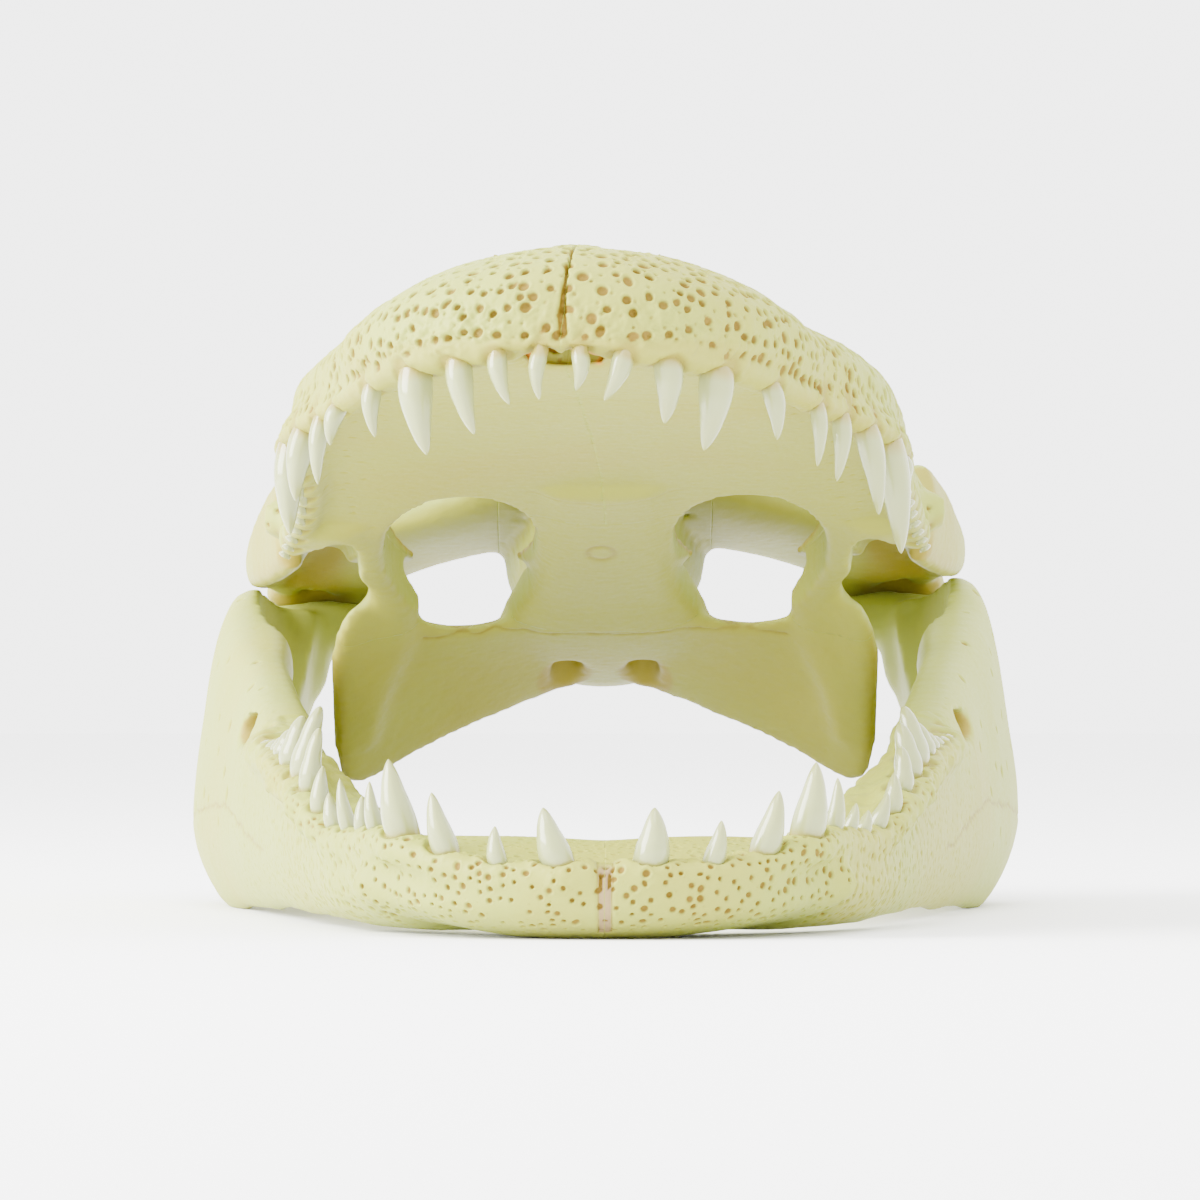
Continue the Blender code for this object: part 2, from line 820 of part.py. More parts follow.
def fused(objects, name, collection, voxel=FUSE_VOXEL, rounds=2):
    """Grows the pieces together into one soft form."""
    obj = joined(objects, name, collection)
    remesh = obj.modifiers.new("fuse", "REMESH")
    remesh.mode = "VOXEL"
    remesh.voxel_size = voxel * MM
    if rounds:
        soften = obj.modifiers.new("soften", "SMOOTH")
        soften.factor = 0.5
        soften.iterations = rounds
    apply_modifiers(obj)
    return obj


def boolean(obj, other, operation, solver="EXACT", keep_other=False):
    """Cuts, joins or trims the object by one other mesh, at once."""
    modifier = obj.modifiers.new("boolean", "BOOLEAN")
    modifier.operation = operation
    modifier.object = other
    modifier.solver = solver
    apply_modifiers(obj)
    if not keep_other:
        bpy.data.objects.remove(other)


def thin_out(obj, triangles):
    """Drops triangles where the form is flat."""
    work = bmesh.new()
    work.from_mesh(obj.data)
    bmesh.ops.triangulate(work, faces=work.faces)
    work.to_mesh(obj.data)
    count = len(work.faces)
    work.free()
    decimate = obj.modifiers.new("thin", "DECIMATE")
    decimate.ratio = min(1.0, triangles / count)
    apply_modifiers(obj)


def keep_largest(obj):
    """Leaves only the closed surface with the most volume."""
    work = bmesh.new()
    work.from_mesh(obj.data)
    work.verts.ensure_lookup_table()
    seen, groups = set(), []
    for start in work.verts:
        if start.index in seen:
            continue
        stack, group = [start], []
        seen.add(start.index)
        while stack:
            vert = stack.pop()
            group.append(vert)
            for edge in vert.link_edges:
                other = edge.other_vert(vert)
                if other.index not in seen:
                    seen.add(other.index)
                    stack.append(other)
        groups.append(group)

    def box_size(group):
        points = np.array([vert.co for vert in group])
        return float(np.prod(points.max(axis=0) - points.min(axis=0) + SMALL))

    groups.sort(key=box_size)
    for group in groups[:-1]:
        bmesh.ops.delete(work, geom=group, context="VERTS")
    work.to_mesh(obj.data)
    work.free()


def shrunk(low, high):
    """A region box drawn in by half a suture gap on every side."""
    return (
        tuple(value + HALF_GAP for value in low),
        tuple(value - HALF_GAP for value in high),
    )


def regions():
    """Name of each node of the cranium, and the boxes that bound it, for the right side and the middle."""
    sided = {
        "premaxilla": [((0, -50, -FAR), (FAR, PREMAXILLA_END, FAR))],
        "maxilla": [
            ((0, PREMAXILLA_END, -FAR), (FAR, SNOUT_END, FAR)),
            ((ROOF_HALF, PREMAXILLA_END + 20, -FAR), (FAR, MAXILLA_END, FAR)),
        ],
        "ectopterygoid": [((WING_INNER, MAXILLA_END, -FAR), (CHEEK_INNER, PALATINE_END, BASE_TOP))],
        "jugal": [
            ((ROOF_HALF, MAXILLA_END, BASE_TOP), (FAR, TABLE_FRONT, FAR)),
            ((CHEEK_INNER, MAXILLA_END, -FAR), (FAR, CHEEK_END, TABLE_FLOOR)),
            ((ROOF_HALF, MAXILLA_END, BASE_TOP), (FAR, QUADRATE_FRONT, TABLE_FLOOR)),
        ],
        "quadrate": [
            ((ROOF_HALF, QUADRATE_FRONT, BASE_TOP), (CHEEK_INNER, FAR, TABLE_FLOOR)),
            ((ROOF_HALF, CHEEK_END, -FAR), (FAR, FAR, TABLE_FLOOR)),
        ],
    }
    middle = {
        "frontal": [((-ROOF_HALF, SNOUT_END, PALATINE_TOP), (ROOF_HALF, TABLE_FRONT, FAR))],
        "palatines": [((-ROOF_HALF, SNOUT_END, -FAR), (ROOF_HALF, PALATINE_END, PALATINE_TOP))],
        "pterygoids": [((-CHEEK_INNER, PALATINE_END, -FAR), (CHEEK_INNER, CHEEK_END, BASE_TOP))],
        "braincase": [((-ROOF_HALF, TABLE_FRONT, BASE_TOP), (ROOF_HALF, FAR, TABLE_FLOOR))],
        "skull_table": [((-FAR, TABLE_FRONT, TABLE_FLOOR), (FAR, FAR, FAR))],
    }
    return sided, middle


def region_solid(boxes, collection):
    """The boxes of one node as one closed solid."""
    low, high = shrunk(*boxes[0])
    obj = block(low, high, collection, "region")
    for corners in boxes[1:]:
        low, high = shrunk(*corners)
        boolean(obj, block(low, high, collection, "more"), "UNION")
    score(obj)
    return obj


def score(obj):
    """Adds edges across a region's faces where the snout bends, so that facing sides bend alike."""
    work = bmesh.new()
    work.from_mesh(obj.data)
    planes = [((0, v * MM, 0), (0, 1, 0)) for v in np.arange(BEND_STEP, DRIFT_END, BEND_STEP)]
    planes += [((0, 0, w * MM), (0, 0, 1)) for w in (0.0, DRIFT_TOP)]
    for point, normal in planes:
        geometry = work.verts[:] + work.edges[:] + work.faces[:]
        bmesh.ops.bisect_plane(work, geom=geometry, plane_co=point, plane_no=normal)
    work.to_mesh(obj.data)
    work.free()


def cranium(work_collection):
    """The fused bone of the upper skull, openings cut."""
    pieces = snout(work_collection) + palatines(work_collection) + frontal(work_collection)
    pieces += skull_table(work_collection) + braincase(work_collection)
    for make in (
        socket_ridge,
        orbit_rim,
        postorbital_bar,
        squamosal_horn,
        quadrate,
        quadrate_shelf,
        condyle,
        jugal_bar,
        prefrontal_pillar,
        pterygoid_wing,
        ectopterygoid,
        ectopterygoid_brace,
    ):
        pieces += both_sides(make, work_collection)
    names_after_cut = ("snout",)
    shell = [piece for piece in pieces if piece.name.startswith(names_after_cut)]
    others = [piece for piece in pieces if piece not in shell]
    hollow = fused(shell, "shell", work_collection, rounds=0)
    cutters = cranium_cutters(work_collection)
    chamber = cutters.pop(0)
    boolean(hollow, chamber, "DIFFERENCE", "MANIFOLD")
    whole = fused([hollow] + others, "cranium", work_collection)
    openings = fused(cutters, "openings", work_collection, rounds=0)
    boolean(whole, openings, "DIFFERENCE", "MANIFOLD")
    whole = fused([whole], "cranium", work_collection)
    keep_largest(whole)
    thin_out(whole, CRANIUM_TRIANGLES)
    return whole


def lower_jaw(work_collection):
    """The right half of the lower jaw as one fused bone, on its flats at floor level."""
    pieces = jaw_half(work_collection) + articular(work_collection) + lower_socket_ridge(work_collection)
    half = fused(pieces, "jaw", work_collection)
    openings = fused(jaw_cutters(work_collection), "jaw_openings", work_collection, rounds=0)
    boolean(half, openings, "DIFFERENCE", "MANIFOLD")
    half = fused([half], "jaw", work_collection)
    boolean(half, block((-HALF_GAP, -50, -FAR), (FAR, FAR, FAR), work_collection), "INTERSECT", "MANIFOLD")
    keep_largest(half)
    thin_out(half, JAW_TRIANGLES)
    return half


def bend_snout(obj):
    """The dried snout leans a little to one side, more toward its tip and less along its top."""
    for vert in obj.data.vertices:
        share = max(0.0, 1 - vert.co.y / (DRIFT_END * MM))
        rise = max(0.0, min(1.0, vert.co.z / (DRIFT_TOP * MM)))
        drift = SNOUT_DRIFT * MM * min(1.1, share) ** DRIFT_POWER
        vert.co.x += drift * (1 - DRIFT_RELIEF * rise)


def twist(obj):
    """The whole dried skull is twisted slightly: its back, away from the floor, sits lower on the left."""
    for vert in obj.data.vertices:
        back = (vert.co.y / MM + JAW_LENGTH / 2) / SKULL_LENGTH
        lift = min(1.0, vert.co.z / MM / TWIST_HEIGHT)
        vert.co.z += TWIST * vert.co.x * max(0.0, min(1.0, back)) * max(0.0, lift)


def cranium_to_world():
    """Turns the cranium about the jaw joint and sets it on the lower jaw."""
    to_joint = Matrix.Translation(Vector((0, -JOINT_V, -JOINT_W)) * MM)
    turn = Matrix.Rotation(GAPE_PITCH, 4, "X")
    place = Matrix.Translation(Vector((0, JOINT_S - JAW_LENGTH / 2, JOINT_Z)) * MM)
    return place @ turn @ to_joint


def jaw_to_world():
    return Matrix.Translation(Vector((0, -JAW_LENGTH / 2, 0)) * MM)


def bone_material():
    material = bpy.data.materials.new("bone")
    material.use_nodes = True
    shader = material.node_tree.nodes["Principled BSDF"]
    shader.inputs["Base Color"].default_value = BONE_COLOUR
    shader.inputs["Roughness"].default_value = BONE_ROUGHNESS
    return material


def finish_node(obj, name, matrix, collection, material):
    """Names a node, sets it in place and shades it."""
    keep_largest(obj)
    obj.name = name
    obj.data.name = name
    obj.data.materials.clear()
    obj.data.materials.append(material)
    obj.data.transform(matrix)
    twist(obj)
    for holder in list(obj.users_collection):
        holder.objects.unlink(obj)
    collection.objects.link(obj)
    obj.data.shade_smooth()
    obj.data.set_sharp_from_angle(angle=math.radians(40))


def copy_of(obj, collection):
    return new_object(obj.name, obj.data.copy(), collection)


def add_teeth(obj, teeth):
    """Fuses a row of teeth, their roots sunk well in, by one union on their collection."""
    holder = bpy.data.collections.new("teeth")
    bpy.context.scene.collection.children.link(holder)
    for make, index, hand in teeth:
        make(index, hand, holder)
    modifier = obj.modifiers.new("teeth", "BOOLEAN")
    modifier.operation = "UNION"
    modifier.operand_type = "COLLECTION"
    modifier.collection = holder
    modifier.solver = "MANIFOLD"
    apply_modifiers(obj)
    for piece in list(holder.objects):
        bpy.data.objects.remove(piece)
    bpy.data.collections.remove(holder)


def part_cranium(whole, work_collection, collection, material):
    sided, middle = regions()
    matrix = cranium_to_world()
    in_premaxilla = [i for i, row in enumerate(UPPER_TEETH) if row[1] < PREMAXILLA_END]
    in_maxilla = [i for i, row in enumerate(UPPER_TEETH) if row[1] > PREMAXILLA_END]
    rows = {"premaxilla": in_premaxilla, "maxilla": in_maxilla}
    for name, boxes in sided.items():
        for side, hand in (("right", 1), ("left", -1)):
            region = region_solid(boxes, work_collection)
            if hand < 0:
                other = mirrored(region, work_collection)
                bpy.data.objects.remove(region)
                region = other
            node = copy_of(whole, work_collection)
            boolean(node, region, "INTERSECT", "MANIFOLD")
            if name in rows:
                keep_largest(node)
                add_teeth(node, [(upper_tooth, i, hand) for i in rows[name]])
            bend_snout(node)
            finish_node(node, f"{name}_{side}", matrix, collection, material)
    for name, boxes in middle.items():
        node = copy_of(whole, work_collection)
        boolean(node, region_solid(boxes, work_collection), "INTERSECT", "MANIFOLD")
        bend_snout(node)
        finish_node(node, name, matrix, collection, material)


def part_jaw(half, work_collection, collection, material):
    matrix = jaw_to_world()
    split = {
        "dentary": ((HALF_GAP, -FAR, 0), (FAR, JAW_SUTURE - HALF_GAP, FAR)),
        "surangular": ((HALF_GAP, JAW_SUTURE + HALF_GAP, 0), (FAR, FAR, FAR)),
    }
    for name, (low, high) in split.items():
        for side, hand in (("right", 1), ("left", -1)):
            node = copy_of(half, work_collection)
            boolean(node, block(low, high, work_collection), "INTERSECT", "MANIFOLD")
            if hand < 0:
                node = mirrored(node, work_collection)
            if name == "dentary":
                keep_largest(node)
                add_teeth(node, [(lower_tooth, i, hand) for i in range(len(LOWER_TEETH))])
            finish_node(node, f"{name}_{side}", matrix, collection, material)


def main():
    for obj in list(bpy.data.objects):
        bpy.data.objects.remove(obj)
    collection = bpy.data.collections.new("alligator_skull")
    bpy.context.scene.collection.children.link(collection)
    work_collection = bpy.data.collections.new("work")
    bpy.context.scene.collection.children.link(work_collection)
    material = bone_material()
    whole = cranium(work_collection)
    part_cranium(whole, work_collection, collection, material)
    half = lower_jaw(work_collection)
    part_jaw(half, work_collection, collection, material)
    for obj in list(work_collection.objects):
        bpy.data.objects.remove(obj)
    bpy.data.collections.remove(work_collection)


main()
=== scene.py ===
"""Alligator skull, jaws open, on a pale floor.

Bones are lofts through a few sections, each a surface of two parameters. They are grown into one form,
opened, refined and pressed in along their normals: pits, sutures, tooth sockets, grain. The cranium is
drawn in its own frame: X across, V back from the tip of the snout, W up from the upper tooth sockets.
The lower jaw is drawn as it stands: X across, S back from its tip, Z up. Tables are in millimetres.
"""

import math

import bmesh
import bpy
import numpy as np
from bpy.props import FloatProperty, FloatVectorProperty, IntProperty, PointerProperty
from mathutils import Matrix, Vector


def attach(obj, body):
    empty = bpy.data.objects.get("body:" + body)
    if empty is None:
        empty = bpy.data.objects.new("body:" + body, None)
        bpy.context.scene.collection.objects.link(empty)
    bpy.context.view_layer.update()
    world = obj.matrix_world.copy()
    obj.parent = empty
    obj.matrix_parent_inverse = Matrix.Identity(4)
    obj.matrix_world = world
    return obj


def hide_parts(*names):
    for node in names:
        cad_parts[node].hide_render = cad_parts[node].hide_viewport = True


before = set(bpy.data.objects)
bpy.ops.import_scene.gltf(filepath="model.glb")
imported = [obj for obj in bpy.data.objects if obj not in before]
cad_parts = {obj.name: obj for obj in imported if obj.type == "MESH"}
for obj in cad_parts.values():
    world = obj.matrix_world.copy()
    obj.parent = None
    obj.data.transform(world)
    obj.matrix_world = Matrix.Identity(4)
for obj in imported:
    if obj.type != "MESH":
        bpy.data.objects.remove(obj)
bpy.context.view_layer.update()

bl_info = {
    "name": "Alligator skull",
    "version": (1, 0, 0),
    "blender": (4, 5, 0),
    "location": "3D View > Sidebar > Skull",
    "description": "Builds a life-size alligator skull with open jaws",
    "category": "Add Mesh",
}

MM = 0.001

# How the skull stands: the upper jaw turned up about the joint, the snout bent to one side and the back
# twisted. The joint is given in the cranium's frame and in the jaw's.
JAW_LENGTH = 452.0
SKULL_LENGTH = 400.0
GAPE_PITCH = math.radians(-11.0)
SNOUT_DRIFT = -11.3
DRIFT_END = 190.0
DRIFT_POWER = 1.3
DRIFT_TOP = 36.0
DRIFT_RELIEF = 0.3
TWIST = 0.018
TWIST_HEIGHT = 88.0
JOINT_V, JOINT_W = 411.0, 26.0
JOINT_S, JOINT_Z = 414.5, 90.5
CONDYLE_RADIUS = 7.0

# Snout and cheeks: v, half width, height of the widest line, top, palate, squareness of the dome.
SNOUT_SECTIONS = [
    (0.5, 11, 8, 14, 2, 2.1),
    (2, 20, 9, 19, 1, 2.1),
    (6, 30, 10, 24.0, 0.5, 2.0),
    (12, 37.4, 11, 28, 0.5, 1.92),
    (22, 46, 12, 32, 0.5, 1.86),
    (35, 53.3, 12, 34.5, 1, 1.82),
    (50, 59.5, 12, 34.5, 1.5, 1.8),
    (60, 61.5, 12, 33.8, 2, 1.85),
    (72, 66, 12, 34, 2, 1.85),
    (90, 72.4, 12, 35.5, 2, 1.88),
    (110, 77.2, 12, 37.5, 2.5, 1.92),
    (140, 79.3, 12, 40.5, 2.5, 2.0),
    (170, 80.3, 12, 43.5, 2, 2.05),
    (200, 81.8, 12.5, 47, 1, 2.0),
    (225, 83.5, 13, 51, 0, 1.9),
    (245, 85.3, 14, 54, 0, 1.85),
    (270, 88, 15, 56, 4, 1.8),
    (288, 90.5, 16, 57, 8, 1.75),
    (300, 92.5, 17, 57, 9, 1.7),
]

# Upper teeth: x, v, width, length left, length right, lean inward of the tip left, right.
UPPER_TEETH = [
    (4.8, 4.5, 5.0, 11.2, 9.0, -0.3, 1.0),
    (15.5, 6.5, 6.0, 12.0, 11.0, 2.9, 5.0),
    (25.5, 13, 8.0, 17.8, 15.2, 3.7, 0.8),
    (37.0, 24, 9.4, 20.4, 19.4, 2.6, 3.4),
    (49.0, 41, 5.8, 12.4, 13.2, 0.3, -1.7),
    (59.5, 64, 5.0, 9.4, 15.0, -2.6, 0.0),
    (65.0, 77, 5.6, 16.4, 16.0, -1.4, 1.2),
    (70.6, 91, 7.4, 17.6, 21.6, -2.8, -3.2),
    (75.4, 108, 9.2, 22.4, 28.0, -1.0, -3.5),
    (77.8, 125, 7.4, 11.0, 10.0, 0.6, -0.8),
    (77.8, 139, 6.0, 6.0, 5.5, 0.5, 0.5),
    (77.8, 152, 5.4, 4.0, 4.0, 0.5, 0.5),
    (78.0, 165, 5.2, 3.2, 3.2, 0.6, 0.6),
    (79.0, 178, 5.0, 2.8, 2.8, 0.6, 0.6),
    (80.0, 192, 4.8, 2.6, 2.6, 0.6, 0.6),
    (81.2, 205, 4.6, 2.4, 2.4, 0.5, 0.5),
    (82.6, 217, 4.4, 2.2, 2.2, 0.4, 0.4),
    (84.0, 228, 4.2, 2.0, 2.0, 0.4, 0.4),
    (85.2, 238, 4.0, 2.0, 2.0, 0.3, 0.3),
]
PREMAXILLA_TEETH = 5
BLUNT_FROM_UPPER = 9

# Lower teeth: x, s, socket height, width, length left, right, lean outward of the tip left, right.
LOWER_TEETH = [
    (10.5, 7, 17.0, 9.6, 15.2, 15.2, 4.6, 1.6),
    (25.5, 10, 17.0, 6.0, 10.6, 12.0, 1.3, 2.9),
    (38.0, 19, 19.5, 8.0, 16.2, 16.6, 4.4, 4.6),
    (49.0, 31, 23.5, 9.2, 20.2, 19.4, 4.2, 2.9),
    (56.0, 45, 24.5, 5.2, 13.6, 14.4, 2.2, 1.5),
    (59.5, 57, 24.0, 4.6, 10.4, 8.4, 0.8, 2.9),
    (63.0, 68, 23.5, 4.8, 15.0, 7.0, 3.2, 2.8),
    (66.8, 80, 24.5, 5.4, 10.3, 10.1, 2.5, 4.2),
    (71.5, 92, 28.5, 5.8, 13.0, 11.0, -0.4, 1.4),
    (75.0, 105, 33.0, 6.8, 18.0, 12.8, -2.6, 0.2),
    (77.6, 119, 36.5, 8.2, 20.0, 15.2, -5.0, -2.4),
    (80.2, 133, 39.5, 8.8, 14.5, 16.4, -2.8, -3.6),
    (82.4, 147, 42.0, 7.4, 8.5, 9.5, -1.6, -2.2),
    (84.2, 160, 43.5, 6.4, 5.0, 5.5, -1.0, -1.2),
    (86.0, 172, 44.5, 5.8, 3.0, 3.4, -0.6, -0.8),
    (87.8, 184, 45.5, 5.4, 2.0, 2.2, -0.4, -0.4),
    (89.4, 195, 46.5, 5.0, 1.6, 1.6, -0.3, -0.3),
    (91.0, 205, 47.5, 4.6, 1.4, 1.4, -0.2, -0.2),
]
BLUNT_FROM_LOWER = 9

# Crowns: points round and along, length of the buried root, how far it narrows, and bow to side and front.
CROWN_SIDES, CROWN_RINGS = 28, 30
ROOT_LENGTH, ROOT_TAPER, POINT_RADIUS = 5.0, 0.65, 0.004
SIDE_BOW = {"upper": 0.8, "lower": 0.6}
FRONT_BOW = -1.0

# Lower jaw: s, inner x, outer x, underside z, upper edge z. One half, both halves meet at x = 0.
JAW_SECTIONS = [
    (0.8, -13, 13, 7, 16),
    (4, -24, 24, 3.5, 17.5),
    (10, -35, 35, 1.0, 18),
    (20, -46, 46, -0.8, 19.5),
    (32, -54, 54, -0.6, 22),
    (45, -60, 60, 0.3, 24),
    (53, 4, 63, 0.6, 24.5),
    (62, 22, 65.5, 0.8, 24),
    (75, 37, 69.5, 1.0, 24),
    (95, 50, 74, 1.4, 29.5),
    (120, 59, 79.5, 1.8, 36.5),
    (150, 66, 85.5, 2.2, 42),
    (185, 73, 92, 2.2, 46.5),
    (215, 77.5, 98, 1.2, 55),
    (245, 83.5, 103.5, 0.7, 62),
    (275, 89, 109, -0.3, 68.5),
    (305, 92, 114, -1.4, 75.5),
    (335, 93, 117.2, 0, 82),
    (355, 93, 117.8, 4.0, 88),
    (372, 92, 117.5, 10.5, 90.2),
    (388, 91, 114, 18, 88),
    (402, 90, 109, 28, 83),
    (412, 89, 105, 38, 79),
]

# Form of the lower jaw: its lean above and below the widest height, its squareness below and above, the inner
# shelf behind the teeth, and the window in its outer wall. What ends in REACH is a length from its FROM.
JAW_LEAN = 0.15
JAW_TUCK = 0.10
LEAN_FROM, LEAN_REACH = 120.0, 150.0
WIDEST_HEIGHT = 20.0
KEEL_SQUARENESS = 1.95
CREST_SQUARENESS, CREST_GAIN, CREST_FROM, CREST_REACH = 3.2, 1.6, 280.0, 60.0
SHELF_FROM, SHELF_REACH, SHELF_MOST = 105.0, 60.0, 1.4
WINDOW_S, WINDOW_Z, WINDOW_HALF, WINDOW_RISE = 233.0, 50.0, 10.0, 4.2
WINDOW_INSIDE, WINDOW_OUTSIDE = 84.0, 122.0
# How far out the window's painted shade begins.
WINDOW_SHADE_FROM = 86

HANDS = (("right", 1), ("left", -1))
FAR = 600.0

# Sutures that part the nodes, in the cranium's frame and in the jaw's.
PREMAXILLA_END = 58.0
SNOUT_END = 200.0
MAXILLA_END = 243.0
ROOF_HALF = 30.0
PALATINE_TOP = 20.0
PALATINE_END = 296.0
TABLE_FRONT = 316.0
TABLE_FLOOR = 48.5
BASE_TOP = 8.0
WING_INNER = 42.0
CHEEK_INNER = 82.0
QUADRATE_FRONT = 334.0
CHEEK_END = 372.0
JAW_SUTURE = 238.0

# Fineness: how far back the snout's sides and its middle, and the chin, have finer faces; how many rounds
# of averaging find the hollows; and how far the jaw's relief stays above the floor.
FINE_SNOUT = (92, 60)
FINE_CHIN = 47
HOLLOW_ROUNDS = 12
FLOOR_GAP = 0.02

# Relief in millimetres: smallest and largest radius of each kind of hole, and the cells of the noise.
SNOUT_PITS, SNOUT_SMALL_PITS, SPARSE_PITS = (1.05, 1.65), (0.7, 0.95), (0.4, 0.7)
PALATE_HOLES, PALATE_SPACING = (0.6, 1.1), 7.0
JAW_PITS, JAW_SMALL_PITS, JAW_NERVE_HOLES = (0.6, 1.15), (0.35, 0.6), (1.0, 2.0)
CRUMBLE_CELL, LUMP_CELL, SWELL_CELL = 2.0, 7.0, 22.0
JAW_CRUMBLE_CELL, JAW_LUMP_CELL, JAW_SWELL_CELL = 2.6, 6.0, 24.0

# Where the relief lies: each pair is where it begins and is full, or where it is full and ends.
DOME_FACING, DOME_HEIGHT = (-0.8, -0.4), (1.0, 3.2)
SNOUT_FRONT, SNOUT_BACK = (120, 200), (215, 262)
ROOF_FACING, ROOF_BEGIN, ROOF_HEIGHT = (0.3, 0.7), (225, 250), (44, 50)
BACK_PITS = 0.55
SOCKET_TOP = (4.0, 8.0)
WORN_BACK, WORN_TOP, WORN_BEGIN = (14, 26), (10, 15), (-1, 3)
CHIN_BACK, JAW_BACK_BEGIN, KEEL_HEIGHT = (60, 200), (230, 280), (1, 5)
JAW_PITS_END, WALL_HOLES_FROM, WALL_HOLES_HEIGHT = 230, 245, (15, 35)
JAW_SOCKET_BEGIN, JAW_SOCKETS_END, JAW_COLLARS_BACK = (-7, -3), 215, (110, 150)
SHELF_BEGIN, SHELF_S = (-9, -3), (80, 212)
HOLE_HALF, HOLE_BEGIN, HOLE_BACK, HOLE_TOP = (8.0, 9.5), (6, 8), (20, 22.5), 14

# Pits: more small than large, some drawn out; edge, rim and reach are shares of a pit's radius.
PIT_SMALLNESS, PIT_STRENGTH, PIT_STRETCH = 1.4, (0.65, 1.0), 0.7
PIT_EDGE, RIM_PLACE, RIM_WIDTH, PIT_REACH, LEAST_APART = 1.05, 1.25, 0.2, 1.9, 0.72

# How far from a socket its collar and gap are looked for, sideways and along the tooth.
SOCKET_REACH, SOCKET_DOWN, SOCKET_UP = 16, -9, 12

# Heights and depths of the relief in millimetres, or as a share of the pits' depth.
SWELL_RISE, FRONT_DROP, LUMP_RISE = 0.45, 0.75, 0.22
GRAIN_RISE, SOCKET_GRAIN, MARGIN_GRAIN = 0.07, 0.22, 0.5
COLLAR_RISE, SOCKET_DEPTH, RIM_SHARE = 0.12, 0.55, 0.13
SPARSE_DEPTH, PALATE_HOLE_DEPTH, CRACK_DEPTH = 0.5, 1.3, 2.2
JAW_SWELL_RISE, JAW_DROP, SHELF_RISE = 0.35, 0.25, 0.9
JAW_GRAIN_RISE, JAW_MARGIN_GRAIN = 0.035, 0.245
JAW_COLLAR_RISE, JAW_SOCKET_DEPTH = 0.4, 0.8
JAW_PIT_SHARE, JAW_RIM_SHARE = 0.7, 0.1
JAW_SMALL_DEPTH, WALL_HOLE_DEPTH = 0.4, 0.9
STRIP_DEPTH, STRIP_EDGE_DEPTH, SLIT_DEPTH = 0.35, 0.5, 1.2

# Round a tooth: how far out its collar stands, the collar's width, and where the gap begins and ends.
COLLAR_PLACE, COLLAR_WIDTH = 2.1, 1.1
GAP_FROM, GAP_TO = 0.3, 1.5

# The gristle at the chin: half width from full to none, top from full to none, and depth behind the tip.
STRIP_HALF, STRIP_TOP, STRIP_BACK = (1.2, 1.9), (17, 19), 9
SLIT_X, SLIT_Z, SLIT_HALF, SLIT_RISE = 0.9, 14.5, 0.5, 2.6

# Stage: place and side of each lamp in metres and its share of the key light's power; the camera's shift is
# a share of the picture's width, which is 1200 pixels.
FLOOR_REACH = 6.0 / MM
LAMPS = {"key": ((-1.9, -0.55, 0.95), 1.6, 1.0), "top": ((0.0, -0.6, 1.9), 1.4, 0.12)}
LAMP_AIM = (0, 0, 0.08)
SENSOR_WIDTH, FOCAL_LENGTH = 36.0, 272.55
CAMERA_SHIFT = (-5 / 1200, 60 / 1200)
CAMERA_PLACE = (0.0, -2.426, 0.068)


# Settings that a user would change


class SkullSizes(bpy.types.PropertyGroup):
    """Fineness of the bone and depth of its relief."""

    voxel: FloatProperty(
        name="Voxel", description="Side of the cubes in which the bones grow together",
        default=1.6 * MM, min=1.2 * MM, max=3.0 * MM, unit="LENGTH", precision=5)
    pit_depth: FloatProperty(
        name="Pit depth", description="Depth of the largest pits of the snout",
        default=1.4 * MM, min=0.0, max=2.5 * MM, unit="LENGTH", precision=5)
    pit_spacing: FloatProperty(
        name="Pit spacing", description="Distance between neighbouring pits",
        default=4.0 * MM, min=3.0 * MM, max=12.0 * MM, unit="LENGTH", precision=5)
    suture_depth: FloatProperty(
        name="Suture depth", description="Depth of the seams between bones",
        default=0.35 * MM, min=0.0, max=1.0 * MM, unit="LENGTH", precision=5)
    seed: IntProperty(
        name="Seed", description="Changes where the pits and small holes lie", default=11, min=0)


class SkullColours(bpy.types.PropertyGroup):
    """Colours of bone and teeth."""

    bone: FloatVectorProperty(
        name="Bone", description="Bleached outer bone", subtype="COLOR",
        default=(0.275, 0.306, 0.045), min=0.0, max=1.0)
    bone_warm: FloatVectorProperty(
        name="Warm bone", description="Yellower patches where oil stays in the bone", subtype="COLOR",
        default=(0.285, 0.274, 0.033), min=0.0, max=1.0)
    pit: FloatVectorProperty(
        name="Pit", description="Bottom of the pits and small holes", subtype="COLOR",
        default=(0.165, 0.100, 0.006), min=0.0, max=1.0)
    # Painted shade: darker ochre drawn in hollows, in the chamber, under the cheeks, on bone that faces down
    # and in the jaw's window.
    hollow_shade: FloatVectorProperty(
        name="Hollow", description="Bone inside the hollows of the skull", subtype="COLOR",
        default=(0.255, 0.192, 0.017), min=0.0, max=1.0)
    gristle: FloatVectorProperty(
        name="Gristle", description="Dried strip that joins the chin", subtype="COLOR",
        default=(0.25, 0.175, 0.080), min=0.0, max=1.0)
    # Painted light: a bright orange that stands for light shining through the thin bone in the hole behind
    # the front teeth.
    painted_glow: FloatVectorProperty(
        name="Painted glow", description="Orange bone deep in the holes behind the front teeth", subtype="COLOR",
        default=(0.45, 0.17, 0.012), min=0.0, max=1.0)
    enamel: FloatVectorProperty(
        name="Enamel", description="Crown of a tooth", subtype="COLOR",
        default=(0.275, 0.305, 0.125), min=0.0, max=1.0)
    tip: FloatVectorProperty(
        name="Tooth tip", description="Clearer enamel near the tip", subtype="COLOR",
        default=(0.255, 0.27, 0.10), min=0.0, max=1.0)


class StageLook(bpy.types.PropertyGroup):
    """Floor and light."""

    floor: FloatVectorProperty(
        name="Floor", description="Colour of the floor", subtype="COLOR",
        default=(0.94, 0.94, 0.94), min=0.0, max=1.0)
    key: FloatProperty(
        name="Key light", description="Power of the large lamp", subtype="POWER",
        default=265.0, min=0.0)
    fill: FloatProperty(
        name="Sky", description="Strength of the even light from all around", default=4.6, min=0.0)


